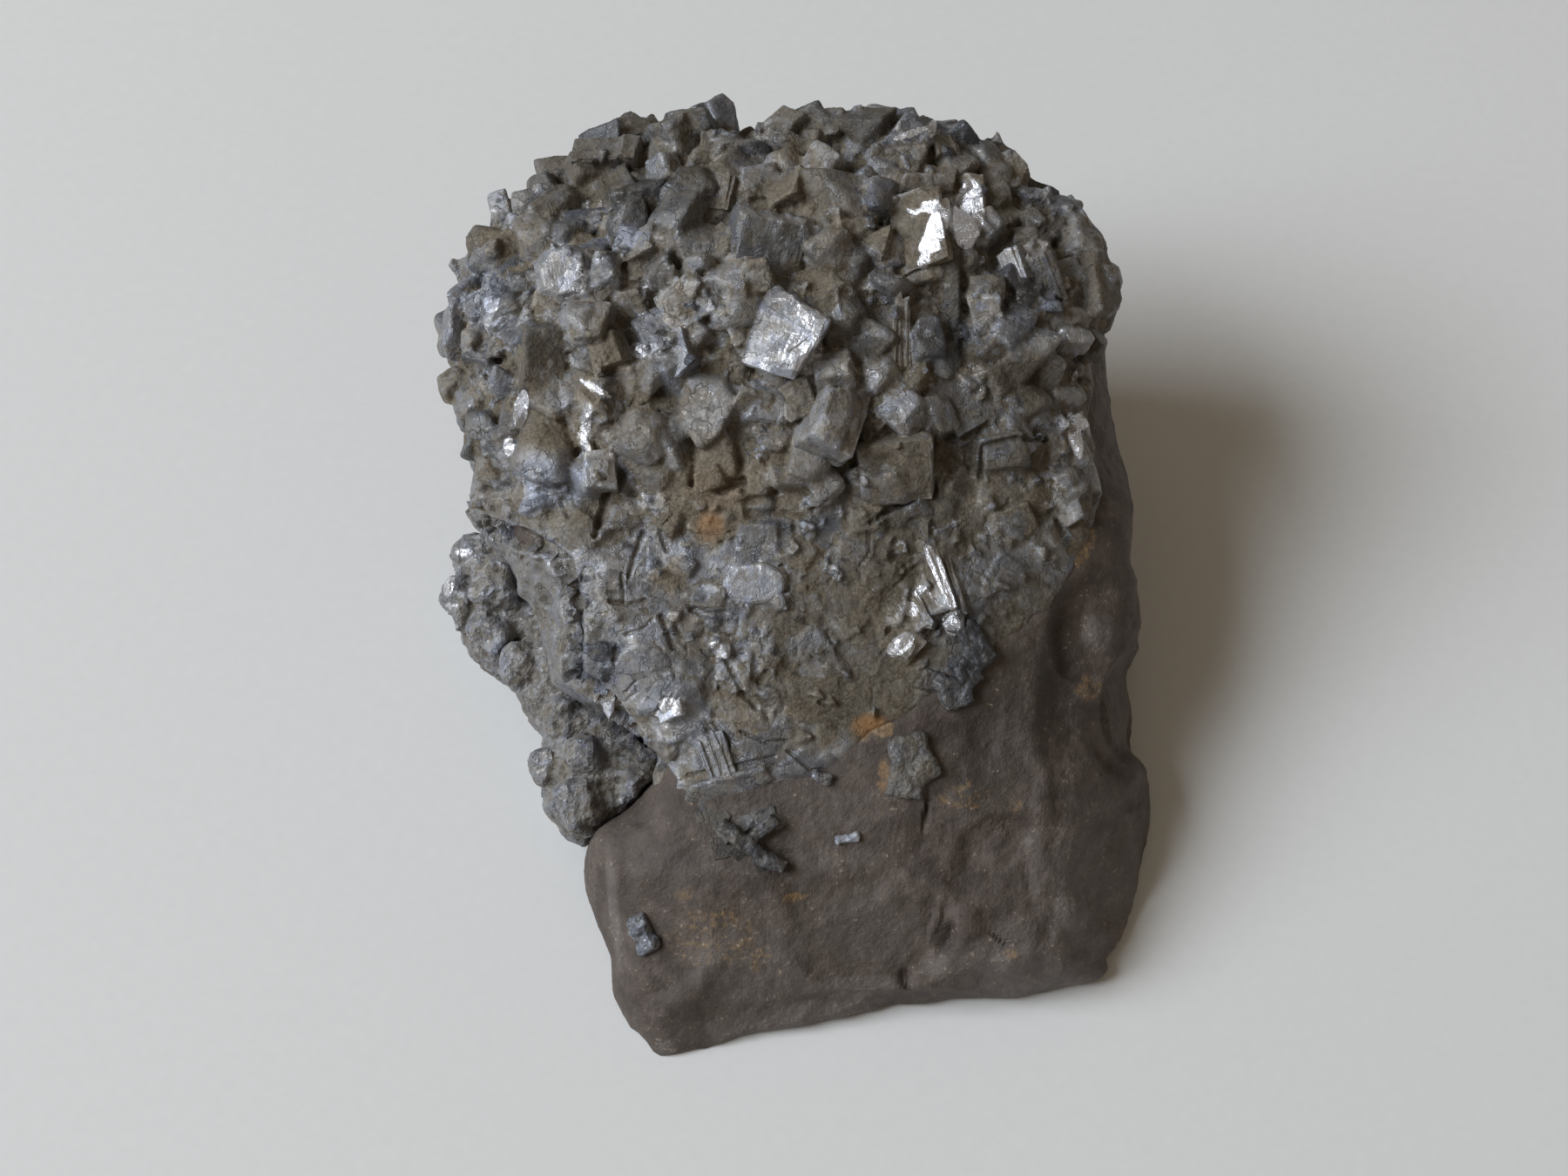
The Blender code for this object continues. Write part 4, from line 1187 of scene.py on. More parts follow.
def shrunk(item):
    twin = copy_of(item, "shrunk")
    points = points_of(twin)
    middle = points.mean(axis=0)
    move_points(twin, middle + (points - middle) * SHRINK)
    return twin


def grow_together(items, name, cell):
    """One skin round many closed pieces, which keeps the look of each."""
    whole = join(items, name)
    old = points_of(whole)
    own = table_of(whole.data.attributes["own"].data, "vector")
    look = table_of(whole.data.attributes["look"].data, "color", 4)
    tree = point_tree(old)
    modify(whole, "REMESH", mode="VOXEL", voxel_size=cell)
    new = points_of(whole)
    nearest = np.array([tree.find(place)[1] for place in new])
    write(whole, "own", "FLOAT_VECTOR", own[nearest] + (new - old[nearest]))
    write(whole, "look", "FLOAT_COLOR", look[nearest])
    return whole


def below_smoothed(item, rounds):
    """How far each point lies below a smoothed copy of its piece: more than 0 in a hollow."""
    smoothed = copy_of(item, "smoothed")
    soften(smoothed, rounds)
    below = np.einsum("ij,ij->i", points_of(smoothed) - points_of(item), normals_of(item))
    bpy.data.objects.remove(smoothed)
    return below


def fill_hollows(item, rounds, share):
    """Raise the hollow points towards the smoothed copy, and give how far each one rose."""
    rise = np.maximum(below_smoothed(item, rounds), 0.0) * share
    move_points(item, points_of(item) + normals_of(item) * rise[:, None])
    return rise


def lumpy(size):
    texture = bpy.data.textures.new("lumpy", "VORONOI")
    texture.noise_scale = size
    return texture


grown = [bed] + large_crystals + small_crystals + crumbs + [shrunk(item) for item in crisp_crystals]
crust = grow_together(grown, "crust", SKIN_CELL)
print("skin triangles:", triangles(crust))

# %% Lobes beside the left flank, and dust
beside = covered(points_of(crust), FLANK, 0.4)
flank = crust.vertex_groups.new(name="flank")
for index in np.flatnonzero(beside > 0.05):
    flank.add([int(index)], float(beside[index]), "REPLACE")
soften(crust, 10, vertex_group="flank")
roughen(crust, clouds(3.2, 1), 1.8, vertex_group="flank")
roughen(crust, lumpy(1.6), 0.5, vertex_group="flank")
bold = raised_share(points_of(crust))
share = 0.16 - 0.02 * bold
risen = fill_hollows(crust, 40, share) + fill_hollows(crust, 8, share)

# %% Cracks
# the corners of each crack in pixels, then how wide it is in pixels, and how deep in millimetres
CRACKS = [
    ([(560, 606), (610, 622), (646, 646), (657, 690), (658, 778)], 22, 3.2),
    ([(658, 778), (690, 796), (728, 848), (766, 898)], 20, 2.4),
    ([(697, 566), (690, 590), (684, 614)], 10, 1.3), ([(738, 612), (728, 640), (722, 662)], 7, 0.7),
    ([(714, 658), (716, 690)], 5, 0.5), ([(700, 690), (722, 694), (740, 690)], 7, 0.7),
    ([(759, 708), (766, 724), (773, 744)], 8, 0.9), ([(832, 752), (840, 772), (850, 790)], 7, 0.7),
    ([(850, 796), (862, 804), (868, 812)], 9, 0.9), ([(872, 782), (880, 772)], 9, 0.7),
    ([(795, 700), (812, 706), (832, 704)], 9, 0.9), ([(898, 650), (904, 676)], 7, 0.8),
    ([(705, 760), (707, 745)], 8, 0.7), ([(718, 728), (738, 722), (748, 712)], 5, 0.5),
    ([(762, 800), (754, 818)], 6, 0.6), ([(724, 828), (742, 836), (748, 846)], 7, 0.7),
    ([(838, 612), (828, 622)], 7, 0.7), ([(718, 795), (730, 782)], 4, 0.4),
    ([(1000, 600), (1020, 585), (1050, 572)], 8, 0.9), ([(758, 612), (766, 632)], 7, 0.6),
    ([(645, 575), (652, 590)], 10, 0.8), ([(1125, 548), (1128, 512), (1170, 502), (1200, 505)], 8, 0.9),
    ([(850, 840), (880, 852), (905, 850)], 5, 0.5), ([(820, 830), (836, 850), (834, 872)], 7, 0.6),
    ([(905, 862), (930, 884), (952, 886)], 5, 0.5), ([(640, 620), (600, 640)], 5, 0.4),
    ([(790, 890), (840, 880), (890, 868)], 5, 0.4), ([(930, 800), (955, 815)], 4, 0.4),
]
STRAY_CRACKS = 60
DEEPEST = 2.0
FLANK_LOOK = (1.02, -0.1, 0.0, 0.15)
FLANK_DUST = 0.15

draw = random.Random(71)
for _ in range(STRAY_CRACKS):
    px, py = draw.uniform(640, 1150), draw.triangular(500, 890, 750)
    heading = draw.choice([20, 75, 110, 140]) + draw.gauss(0, 12)
    corners = [(px, py)]
    for _ in range(draw.randint(2, 4)):
        heading += draw.gauss(0, 40)
        stride = draw.uniform(5, 12)
        px += stride * math.cos(math.radians(heading))
        py += stride * math.sin(math.radians(heading))
        corners.append((px, py))
    CRACKS.append((corners, draw.uniform(4, 6), draw.uniform(0.12, 0.32)))


points = points_of(crust)
normals = normals_of(crust)
facing = toward_eye(normals)
right, down = pixels(points)
raised = np.zeros(len(points))
for corners, wide, deep in CRACKS:
    near = distance_to_line(right, down, np.array(corners, float))
    raised -= 0.65 * deep * smooth_step(1.2 - near * 1.8 / wide)
raised = np.maximum(raised, -DEEPEST) * smooth_step((facing - 0.1) / 0.4)
move_points(crust, points + normals * raised[:, None])
settled = smooth_step(risen / 0.14) * smooth_step(1.0 + raised / 0.3)
beside = covered(points, FLANK, 0.25)
write(crust, "dust", "FLOAT", settled + (FLANK_DUST - settled) * beside)
look = table_of(crust.data.attributes["look"].data, "color", 4)
write(crust, "look", "FLOAT_COLOR", look + (np.array(FLANK_LOOK) - look) * beside[:, None])

# %% Roughen the skin, and thin out its hidden side
unseen = crust.vertex_groups.new(name="unseen")
points = points_of(crust)
rock_tree = surface_tree(rock)
buried = np.array([(place - found[0]).dot(found[1]) < -0.4 for place, found in
                   ((Vector(place), rock_tree.find_nearest(Vector(place))) for place in points)])
weights = np.where(buried, 1.0, np.where(facing < -0.25, 0.5, 0.0))
for value in (0.5, 1.0):
    unseen.add([int(index) for index in np.flatnonzero(weights == value)], value, "REPLACE")
roughen(crust, clouds(2.4, 1), 0.26)
roughen(crust, clouds(0.9, 2), 0.14)
move_points(crust, points + (points_of(crust) - points) * (0.3 + 0.7 * bold)[:, None])
print("points seen:", int(np.sum(weights == 0.0)), "behind:", int(np.sum(weights == 0.5)),
      "buried:", int(np.sum(buried)))
share = SKIN_PARTS * SKIN_LIMIT / triangles(crust)
if share < 1.0:
    modify(crust, "DECIMATE", ratio=share, vertex_group="unseen", vertex_group_factor=10.0)

# %% Part the skin along lines across the face, so that no part is too heavy
up = (face_middles(crust) - np.array(FACE_CENTRE)) @ np.array(UP_FACE)
levels = [float(np.quantile(up, number / SKIN_PARTS)) for number in range(1, SKIN_PARTS)]
part_of_face = np.searchsorted(levels, up)
skins = []
for number in range(SKIN_PARTS):
    skin = copy_of(crust, f"crust_{number + 1}")
    edit_faces(skin, part_of_face != number, bpy.ops.mesh.delete, type="FACE")
    skins.append(skin)
bpy.data.objects.remove(crust)
print("parted at", [round(level, 1) for level in levels], "mm:", [triangles(skin) for skin in skins])

# %% The crystals that stand in it
DUST_FROM = Vector((0.0, -0.25, 1.0)).normalized()


def write_dust(item, tree, reach):
    """Dust covers what lies near the bed, and thinly what faces up."""
    height = np.empty(len(item.data.vertices))
    for index, place in enumerate(points_of(item)):
        found, normal, _, _ = tree.find_nearest(Vector(place))
        height[index] = (Vector(place) - found).dot(normal)
    level = smooth_step((normals_of(item) @ np.array(DUST_FROM) - 0.5) / 0.5)
    write(item, "dust", "FLOAT", np.clip(1.0 - height / reach, 0.0, 1.0) * 0.8 + 0.3 * level)


crisp = join(crisp_crystals, "crust_crystals")
roughen(crisp, clouds(2.4, 1), 0.45)
roughen(crisp, clouds(0.7, 2), 0.15)
write_dust(crisp, bed_tree, 0.8)
print("crisp crystals:", triangles(crisp))

# %% Worn edges and painted hollow shade, and tints by place
# px, py, wide, long, spin, tint (cold below zero, warm above), shade (darker below zero, lighter above)
PLACE_TINTS = [
    (820, 560, 170, 130, 0, 1.0, 0.15), (815, 610, 60, 60, 0, 1.2, 0.15),
    (700, 440, 160, 120, 20, 0.5, 0.1), (770, 660, 60, 60, 0, 0.8, 0.1),
    (900, 240, 120, 100, 0, 0.6, 0.0), (950, 330, 80, 90, 0, 0.5, 0.0), (570, 280, 60, 60, 0, 0.9, 0.1),
    (690, 220, 90, 60, 0, 0.6, -0.1), (1040, 520, 180, 130, 0, 0.5, -0.1),
    (640, 500, 120, 70, 0, 0.6, 0.1), (1190, 600, 100, 120, 0, 0.6, -0.2),
    (1010, 690, 120, 150, 0, 0.8, -0.2), (560, 340, 90, 120, 0, -0.7, 0.1),
    (730, 270, 60, 50, 0, -0.7, 0.0), (1130, 160, 120, 60, 20, -0.5, 0.0),
    (630, 545, 150, 110, 0, -0.8, 0.35), (690, 745, 90, 110, 0, -0.5, -0.1),
    (860, 180, 80, 50, 0, -0.5, 0.0), (1090, 390, 120, 90, 0, -0.4, -0.15),
    (780, 840, 120, 80, 0, -0.5, 0.1), (1160, 330, 100, 100, 0, -0.3, -0.1),
    (1000, 835, 70, 50, 0, 1.4, 0.0), (1180, 430, 90, 80, 0, 0.5, -0.2),
    (930, 830, 120, 90, 0, 0.6, -0.2), (750, 225, 150, 110, 0, 0.0, -0.4),
    (1130, 470, 220, 220, 0, 0.2, -0.3), (1060, 620, 220, 150, 0, 0.3, -0.3),
    (1110, 740, 130, 150, 0, -0.2, -0.45), (920, 730, 150, 170, 0, 0.3, -0.3),
    (740, 690, 150, 130, 0, -0.1, 0.25), (640, 300, 140, 100, 0, 0.0, 0.2),
    (1180, 240, 120, 90, 0, 0.0, -0.25), (850, 160, 200, 60, 0, 0.0, -0.1),
    (740, 790, 140, 90, 0, -0.2, 0.2), (985, 385, 60, 80, 0, 0.0, -0.3),
    (1020, 150, 340, 90, 8, -0.1, -0.3), (690, 165, 260, 90, -20, -0.1, -0.3),
    (1165, 680, 150, 130, 0, 0.4, -0.35), (900, 480, 300, 260, 0, 0.0, 0.1),
    (1000, 800, 160, 160, 20, 0.5, -0.25), (720, 840, 200, 60, 20, 0.0, 0.1),
    (560, 700, 130, 200, 0, -0.1, 0.1), (640, 590, 60, 60, 0, 0.0, 0.2),
    (720, 510, 160, 90, 0, 0.1, 0.15), (550, 380, 60, 120, 0, -0.1, 0.3),
]


def write_zone(item):
    points = points_of(item)
    zone = np.zeros((len(points), 4))
    for *ellipse, tint, shade in PLACE_TINTS:
        inside = covered(points, ellipse, 0.7)
        zone[:, 0] += tint * inside
        zone[:, 1] += shade * inside
    zone[:, 1] = np.clip(zone[:, 1], -0.5, 0.4)
    write(item, "zone", "FLOAT_COLOR", zone)


def write_wear(item, rounds, deep):
    """How far each point stands out from a smoothed copy: 0 in a hollow, a half where flat, 1 on an edge. The
    finish paints hollows darker with it, as shade, and edges lighter, as where they are worn.
    """
    write(item, "wear", "FLOAT", smooth_step(0.5 - below_smoothed(item, rounds) / deep))


# px, py, wide, long, spin, how bright: 1 is all bright, 0.8 half of it in streaks, 0.6 only flecks
# painted highlights: where these lie, the finish paints the base colour near white
GLEAMS = [
    (1072, 268, 28, 92, 20, 1.0), (1060, 238, 46, 16, -20, 1.0), (1112, 246, 38, 86, 6, 1.02),
    (918, 390, 56, 92, -14, 0.84), (884, 400, 50, 60, 0, 0.74), (900, 344, 40, 22, 20, 0.85),
    (652, 314, 64, 60, 0, 0.70), (664, 322, 22, 44, 0, 0.8), (733, 402, 24, 20, 20, 0.9),
    (772, 392, 50, 50, 0, 0.62), (860, 651, 50, 10, 0, 0.8), (862, 672, 70, 44, 5, 0.62),
    (1070, 642, 14, 40, -22, 1.0), (1082, 664, 12, 60, -14, 1.0), (1092, 690, 10, 50, -14, 0.95),
    (1060, 684, 20, 30, -30, 0.9), (1046, 700, 18, 24, -30, 0.85), (1034, 740, 40, 22, -38, 0.92),
    (1092, 716, 22, 30, -20, 0.95), (770, 811, 32, 22, 20, 0.95), (598, 470, 18, 50, 10, 0.95),
    (584, 512, 14, 26, 0, 0.9), (1234, 500, 18, 60, -12, 0.85), (1240, 487, 20, 16, 0, 0.95),
    (673, 490, 12, 56, 8, 0.95), (684, 446, 46, 10, 30, 0.9), (1046, 153, 50, 10, -20, 0.95),
    (1070, 148, 12, 24, 10, 0.9), (1215, 382, 70, 20, 8, 0.72), (696, 806, 14, 36, -14, 0.7),
    (640, 648, 26, 30, -20, 0.8), (822, 742, 16, 16, -15, 0.8), (815, 855, 30, 60, 25, 0.7),
    (888, 822, 60, 30, 0, 0.66), (1000, 546, 60, 40, 0, 0.64), (700, 240, 30, 50, 30, 0.72),
    (640, 262, 34, 26, 0, 0.7), (760, 690, 12, 40, -12, 0.74), (1000, 430, 20, 16, 0, 0.8),
    (562, 350, 26, 40, 0, 0.68), (900, 262, 70, 34, 0, 0.7), (560, 420, 30, 60, 0, 0.66),
    (1110, 445, 40, 60, 30, 0.66), (1180, 330, 30, 50, 20, 0.7), (744, 330, 24, 20, 0, 0.74),
]
GLEAM_GROWS = 1.1                        # drawn this much larger, because its soft edge takes some away


def write_gleam(item):
    points = points_of(item)
    gleam = np.zeros(len(points))
    for px, py, wide, long, spin, bright in GLEAMS:
        ellipse = (px, py, wide * GLEAM_GROWS, long * GLEAM_GROWS, spin)
        gleam = np.maximum(gleam, bright * covered(points, ellipse, 0.2))
    gleam *= smooth_step((toward_eye(normals_of(item)) + 0.35) / 0.35)
    write(item, "gleam", "FLOAT", gleam)


for item in (*skins, crisp):
    write_zone(item)
    write_gleam(item)
    write_wear(item, 6, 0.5)

# %% [markdown]
# ## Druse on the left flank, and the loose patches
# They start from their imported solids, remeshed finely and roughened.

# %% Flank druse
druse = from_node("galena_flank_druse", "flank_druse", 0.45, 22)
move_points(druse, points_of(druse) + normals_of(druse) * 0.3 + np.array(UP_FACE) * 0.7)
pull(druse, [(505, 690, 80, 110, 1.3, 0.0, 0.0), (605, 880, 90, 120, 0.9, 0.0, 0.0)])
roughen(druse, clouds(3.2, 1), 1.8, mid_level=0.45)
roughen(druse, lumpy(1.1), 0.5)
roughen(druse, clouds(0.6, 2), 0.25)
points = rest_on_floor(points_of(druse))
move_points(druse, points)

# %% Its gleams, a painted shadow under the crust's edge, and dust
LOBE_GLEAMS = [(532, 634, 34, 18, 0, 0.95), (516, 668, 20, 56, 10, 1.0), (518, 695, 24, 14, 0, 0.9),
               (622, 868, 30, 60, 10, 0.66), (648, 716, 14, 50, 0, 0.7), (632, 652, 20, 26, 0, 0.72)]
SHADED_HOLLOW = (735, 862, 80, 230, -42)

gleam = np.zeros(len(points))
for *ellipse, bright in LOBE_GLEAMS:
    gleam = np.maximum(gleam, bright * covered(points, ellipse, 0.5))
look = np.tile(FLANK_LOOK, (len(points), 1))
# painted shadow: the druse is darker in the hollow that the crust's edge shades
look[:, 0] -= 0.5 * covered(points, SHADED_HOLLOW, 0.5)
write(druse, "gleam", "FLOAT", gleam)
write(druse, "own", "FLOAT_VECTOR", points)
write(druse, "look", "FLOAT_COLOR", look)
write(druse, "dust", "FLOAT", np.full(len(points), FLANK_DUST))
write_zone(druse)
write_wear(druse, 6, 0.6)
print("flank druse triangles:", triangles(druse))

# %% Patches
PATCH_CELL = 0.2
PATCH_ROUGH = 0.3
# how much it is rounded, how far it lies sunk in the rock, then its tone, tint and shine
PATCHES = {
    "crystal_patch_front": (20, 0.6, 0.55, -0.1, 0.0), "crystal_patch_right": (90, 0.85, 0.7, 0.1, 0.0),
    "crystal_patch_upper_right": (24, 0.8, 0.65, -0.1, 0.1), "crystal_flake_pale": (30, 1.0, 1.3, -0.7, 0.1),
    "crystal_flake_left": (30, 1.0, 1.0, -0.8, 0.1), "crystal_flake_arc": (30, 0.8, 1.0, -0.2, 0.0),
}
# px, py, wide, long, spin of the flat plates that belong to the front patch
FRONT_PLATES = [
    (818, 936, 40, 24, -20), (842, 946, 44, 30, 35), (862, 972, 46, 26, 40), (884, 992, 34, 22, 30),
    (896, 946, 30, 16, -30), (832, 972, 34, 24, 10), (878, 938, 26, 20, 20),
]
rock_tree = surface_tree(rock)
draw = random.Random(81)


def flat_plate(px, py, wide, long, spin):
    place, normal, _, _ = rock_tree.ray_cast(EYE, sight(px, py))
    axes = axes_out(normal, spin, draw.gauss(0, 7), draw.gauss(0, 7))
    size = (wide / PIXELS_PER_MM, long / PIXELS_PER_MM, 1.2)
    master = large_masters["plate"][draw.randrange(VARIANTS)]
    return set_crystal(master, place - normal * 0.15, axes, size, (draw.uniform(0.5, 0.8), 0.0, 0.0), draw)


patches = {}
for node, (rounds, sink, *look) in PATCHES.items():
    item = from_node(node, node + "_surface", PATCH_CELL, rounds)
    roughen(item, clouds(1.6, 2), 1.1 if "flake" in node else 0.7, mid_level=0.45)
    roughen(item, clouds(0.7, 2), 0.25)
    move_points(item, points_of(item) - np.array(OUT_OF_FACE) * sink)
    points = points_of(item)
    write(item, "own", "FLOAT_VECTOR", points)
    write(item, "look", "FLOAT_COLOR", np.tile((*look, PATCH_ROUGH), (len(points), 1)))
    if node == "crystal_patch_front":
        item = join([flat_plate(*row) for row in FRONT_PLATES] + [item], item.name)
    write(item, "dust", "FLOAT", np.full(len(item.data.vertices), 0.1))
    write_zone(item)
    write_wear(item, 4, 0.4)
    patches[node] = item

# %% Paint on the rock
# px, py, wide, long, spin, ochre, pale, dark: the dark ones are darker stone, and painted shade in the dents
# and grooves, as at the step beside the chip
SPOTS = [
    (988, 836, 46, 40, 0, 1.0, 0.0, 0.0), (1012, 836, 36, 34, 0, 1.2, 0.4, 0.0),
    (1016, 892, 26, 60, 0, 0.8, 0.2, 0.0), (912, 1030, 44, 18, -8, 0.7, 0.0, 0.5),
    (872, 1100, 36, 50, 20, 0.5, 0.5, 0.0), (785, 1025, 40, 24, 0, 0.5, 0.2, 0.0),
    (820, 1075, 180, 120, 0, 0.35, 0.0, 0.0), (1105, 915, 90, 50, 0, 0.4, 0.1, 0.0),
    (1165, 925, 36, 20, -40, 0.5, 0.2, 0.0), (1135, 880, 10, 24, -10, 0.3, 0.8, 0.0),
    (1180, 965, 14, 14, 0, 0.1, 0.9, 0.0), (765, 1203, 34, 26, 0, 0.2, 0.8, 0.0),
    (980, 1132, 170, 30, -4, 0.1, 0.6, 0.0), (1163, 1094, 30, 20, 0, 0.5, 0.4, 0.0),
    (900, 1172, 330, 46, -9, 0.0, 0.7, 0.0), (1190, 1132, 220, 40, -3, 0.0, 0.7, 0.0),
    (704, 1040, 16, 170, -6, 0.0, 0.8, 0.0), (1250, 790, 46, 50, 0, 0.5, 0.3, 0.0),
    (1262, 726, 60, 60, 0, 0.1, 0.7, 0.0), (1212, 780, 80, 200, 0, 0.0, 0.0, 0.7),
    (1245, 630, 26, 70, 30, 0.7, 0.3, 0.0), (1160, 840, 130, 150, 0, 0.0, 0.0, 0.5),
    (1290, 880, 50, 60, 0, 0.0, 0.0, 0.6), (1285, 990, 70, 150, 0, 0.1, 0.35, 0.0),
    (1292, 1080, 40, 60, 0, 0.5, 0.2, 0.0), (1000, 1070, 150, 90, 0, 0.0, 0.35, 0.0),
    (1165, 1075, 90, 70, 0, 0.0, 0.35, 0.0), (960, 985, 130, 40, 0, 0.2, 0.35, 0.0),
    (780, 990, 160, 70, 0, 0.0, 0.25, 0.2), (980, 930, 200, 60, 0, 0.2, 0.2, 0.0),
    (1080, 1110, 60, 40, 0, 0.0, 0.4, 0.0), (720, 935, 70, 80, 0, 0.0, 0.0, 0.6),
    (1250, 1030, 150, 240, 0, 0.0, 0.7, 0.0), (1160, 1110, 200, 90, 0, 0.0, 0.6, 0.0),
    (860, 1110, 180, 120, 0, 0.1, 0.5, 0.0), (850, 950, 120, 80, 0, 0.1, 0.45, 0.0),
    (1250, 930, 90, 90, 0, 0.0, 0.4, 0.0), (1130, 860, 110, 200, 20, 0.1, 0.0, 0.7),
    (1088, 1078, 24, 56, 20, 0.0, 0.0, 0.8), (985, 1070, 100, 70, 0, 0.0, 0.0, 0.35),
    (1104, 905, 40, 20, -20, 0.6, 0.5, 0.0), (955, 940, 60, 14, 10, 0.2, 0.4, 0.0),
]

points = points_of(rock)
paint = np.zeros((len(points), 4))
for *ellipse, ochre, pale, dark in SPOTS:
    amounts = covered(points, ellipse, 0.6)[:, None] * np.array((ochre, pale, dark))
    paint[:, :3] = np.maximum(paint[:, :3], amounts)
write(rock, "paint", "FLOAT_COLOR", paint)

# %% [markdown]
# ## Finishes
# The crystals are a dull metal: partly metallic, grey, with a film of tan dust in the hollows. Their hollows
# are also painted darker as shade, and their bright faces near white as a highlight.

# %% Crystal finish
def crystal_finish():
    finish = Finish("lead_grey_crystal")
    places = finish.places()
    own = finish.stored("own", "Vector")
    settled, wear, gleam = [finish.stored(name, "Fac") for name in ("dust", "wear", "gleam")]
    tone, tint, shine = finish.channels(finish.stored("look", "Color"))
    rough = finish.stored("look", "Alpha")
    zone, shade = finish.channels(finish.stored("zone", "Color"), 2)
    mottle = finish.noise(places, 1.8, 5.0, 0.65)
    fine = finish.noise(places, 0.35, 4.0, 0.65)
    broad = finish.noise(places, 7.0, 3.0, 0.5)
    crumbs = finish.cells(places, 0.6)
    warp = finish.add("ShaderNodeTexNoise", {}, {"Vector": places, "Scale": 0.9, "Detail": 3.0}, "Color")
    warped = finish.vector("MULTIPLY_ADD", warp, (2.4, 2.4, 2.4), places)
    plates, plate_tone, plate_tint = finish.facets(warped, 2.4)
    faces, face_tone, face_tint = finish.facets(places, 1.1)
    bits, bit_tone, _ = finish.facets(places, 0.45)
    crack = finish.cells(warped, 2.4, "DISTANCE_TO_EDGE").between(0.05, 0.0)
    crack = crack * mottle.between(0.45, 0.58) * (1.0 - shine)
    glint = finish.channels(finish.cells(places, 0.28, "F1", "Color"), 1)[0].between(0.90, 0.97)
    streaks = finish.noise(finish.vector("MULTIPLY", own, (9.0, 1.0, 1.0)), 3.0, 3.0, 0.6)

    shine = shine.math("MAXIMUM", shine, gleam)
    base = finish.mix(mottle, colour(112, 110, 110), colour(152, 150, 149))
    hue = tint + zone + 0.9 * (face_tint - 0.5) + 1.2 * (broad - 0.5) + 1.3 * (0.45 - wear)
    base = finish.mix(hue.clipped() * 0.8, base, colour(124, 110, 90))
    base = finish.mix((0.0 - hue).clipped() * 0.7, base, colour(104, 109, 123))
    level = (0.84 + 0.32 * plate_tone) * (1.0 + (0.1 + 0.5 * rough) * (face_tone - 0.5))
    level = level * (1.0 + (0.1 + 0.2 * rough) * (bit_tone - 0.5))
    # painted shade, and worn edges: darker in the hollows, lighter on worn edges
    level = tone ** 1.4 * level * (0.78 + 0.44 * fine) * (0.68 + 0.64 * wear) * (1.0 + shade)
    level = level * (1.0 - 0.4 * crack)
    # a glossier metal, and a painted highlight: where the shine and the gleams are high, the base colour is
    # painted near white
    gloss_and_painted_highlight = (1.5 * shine + 0.8 * streaks + 0.5 * mottle - 1.75).between(0.0, 0.22)
    bright = finish.mix(gloss_and_painted_highlight, finish.scaled(base, level), colour(216, 215, 219))
    film = 0.9 * settled + 0.25 * mottle + 0.35 * broad + 0.45 * zone + 0.5 * tint - 0.35 * wear - shine
    film = film + 0.1 * (face_tint - 0.5) + 0.2 * (plate_tint - 0.5)
    dust = (film + 0.28).between(0.25, 0.85) * 0.9
    tan = finish.mix(fine * 1.4 - 0.2 - 0.3 * crumbs, colour(68, 61, 52), colour(146, 133, 112))
    # painted shade: the dust is darker in the hollows
    tan = finish.scaled(tan, (0.5 + wear) * (1.0 + shade))
    tan = finish.mix((zone - 0.9).clipped() * 0.8, tan, colour(150, 106, 60))
    finish.set("Base Color", finish.mix(dust, bright, tan))
    finish.set("Metallic", (0.36 + 0.36 * gloss_and_painted_highlight) * (1.0 - dust))
    glints = glint * (1.0 - dust) * 0.35
    finish.set("Roughness", (0.50 - 0.20 * gloss_and_painted_highlight + 0.35 * dust - glints).clipped())
    height = rough * (1.0 - 0.4 * dust) * (0.8 * faces + 0.5 * bits) + 0.2 * plates
    height = height + (0.05 + 0.12 * (1.0 - rough)) * plate_tone
    height = height + 0.13 * mottle + 0.09 * fine + (0.02 + 0.07 * shine) * streaks
    height = height - 0.1 * crack - 0.1 * dust * crumbs
    finish.set("Normal", finish.bump(height, 1.0, 0.8))
    return finish.material


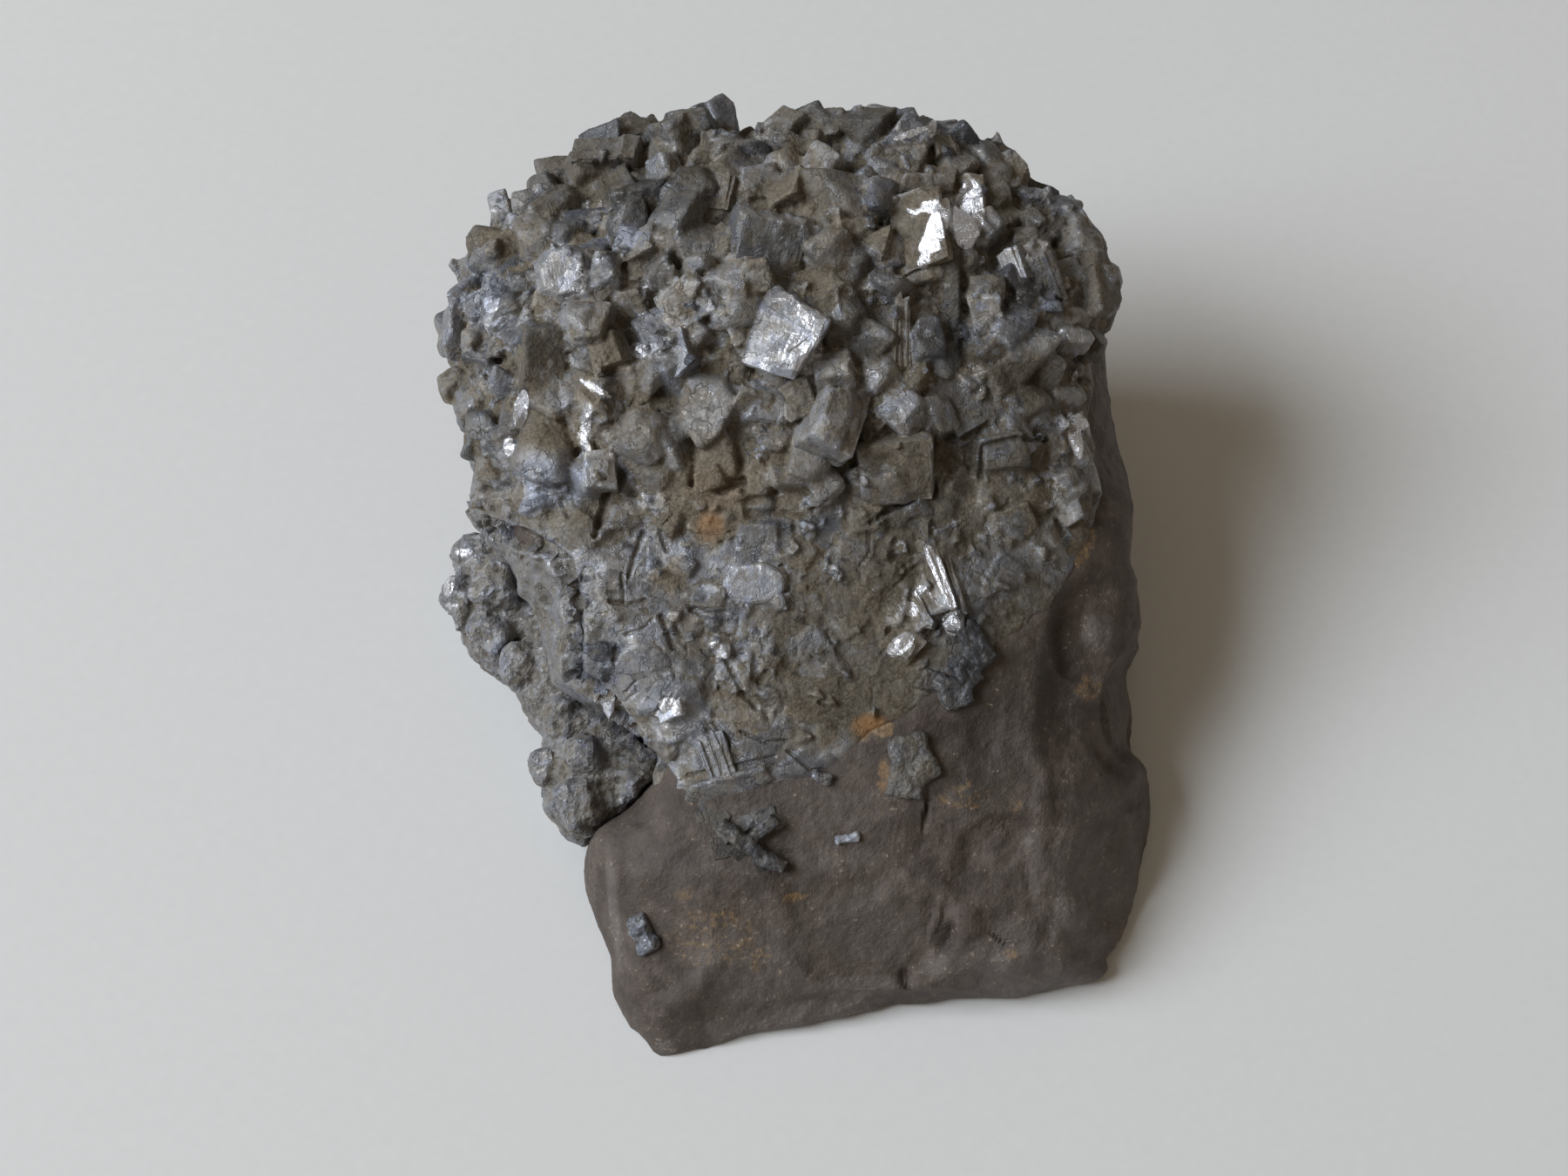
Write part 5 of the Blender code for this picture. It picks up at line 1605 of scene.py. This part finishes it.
def rock_finish():
    finish = Finish("brown_matrix")
    places = finish.places()
    ochre, pale, dark = finish.channels(finish.stored("paint", "Color"))
    broad = finish.noise(places, 14.0, 4.0, 0.55)
    medium = finish.noise(places, 3.0, 5.0, 0.62)
    fine = finish.noise(places, 0.5, 4.0, 0.65)
    grain = finish.noise(places, 0.18, 3.0, 0.7)
    base = finish.mix(broad.between(0.3, 0.7), colour(64, 53, 46), colour(84, 74, 67))
    base = finish.mix(medium.between(0.35, 0.75), base, colour(98, 86, 78))
    base = finish.mix(pale * (0.4 + 0.6 * medium), base, colour(118, 110, 106))
    # darker stone, and painted shade in dents and grooves
    base = finish.mix(dark * 0.7, base, colour(52, 45, 40))
    patchy = finish.noise(places, 0.9, 4.0, 0.7)
    stain = (0.9 * ochre + 2.2 * patchy - 1.3).between(0.0, 0.6) * ochre.between(0.05, 0.4)
    base = finish.mix(stain * 0.7, base, finish.mix(fine, colour(110, 80, 52), colour(164, 136, 94)))
    specks = (finish.noise(places, 0.5, 2.0, 0.5) + 0.08 * ochre + 0.05 * pale).between(0.66, 0.73)
    speck_colour = finish.mix(medium, colour(160, 132, 96), colour(168, 160, 150))
    base = finish.mix(specks * medium.between(0.40, 0.60) * 0.55, base, speck_colour)
    finish.set("Base Color", finish.scaled(base, 0.30 + 0.8 * fine + 0.55 * grain))
    finish.set("Roughness", 0.48 + 0.3 * fine)
    finish.set("Normal", finish.bump(0.5 * fine + 0.4 * medium + 0.25 * grain, 0.5, 0.7))
    return finish.material


# %% Finish each piece
def finish_piece(item, material, node):
    """Rest a piece on the floor, scale it to metres, paint it, hang it under the root body, and hide the
    imported part that it replaces.
    """
    move_points(item, rest_on_floor(points_of(item)))
    item.data.transform(Matrix.Scale(MM, 4))
    item.data.materials.clear()
    item.data.materials.append(material)
    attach(item, "root")
    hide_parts(node)


for masters in (*large_masters.values(), *small_masters.values(), chips):
    for master in masters:
        bpy.data.objects.remove(master)
crystal = crystal_finish()
brown = rock_finish()
for item in (*skins, crisp):
    finish_piece(item, crystal, "galena_crust")
finish_piece(rock, brown, "matrix_rock")
finish_piece(druse, crystal, "galena_flank_druse")
for node, item in patches.items():
    finish_piece(item, crystal, node)

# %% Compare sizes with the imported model, and finish
low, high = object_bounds()
print("visual minus packed, mm:", [round(1000 * value, 1) for value in low - cad_low],
      [round(1000 * value, 1) for value in high - cad_high])
print("triangles in all:", sum(triangles(item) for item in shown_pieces()))
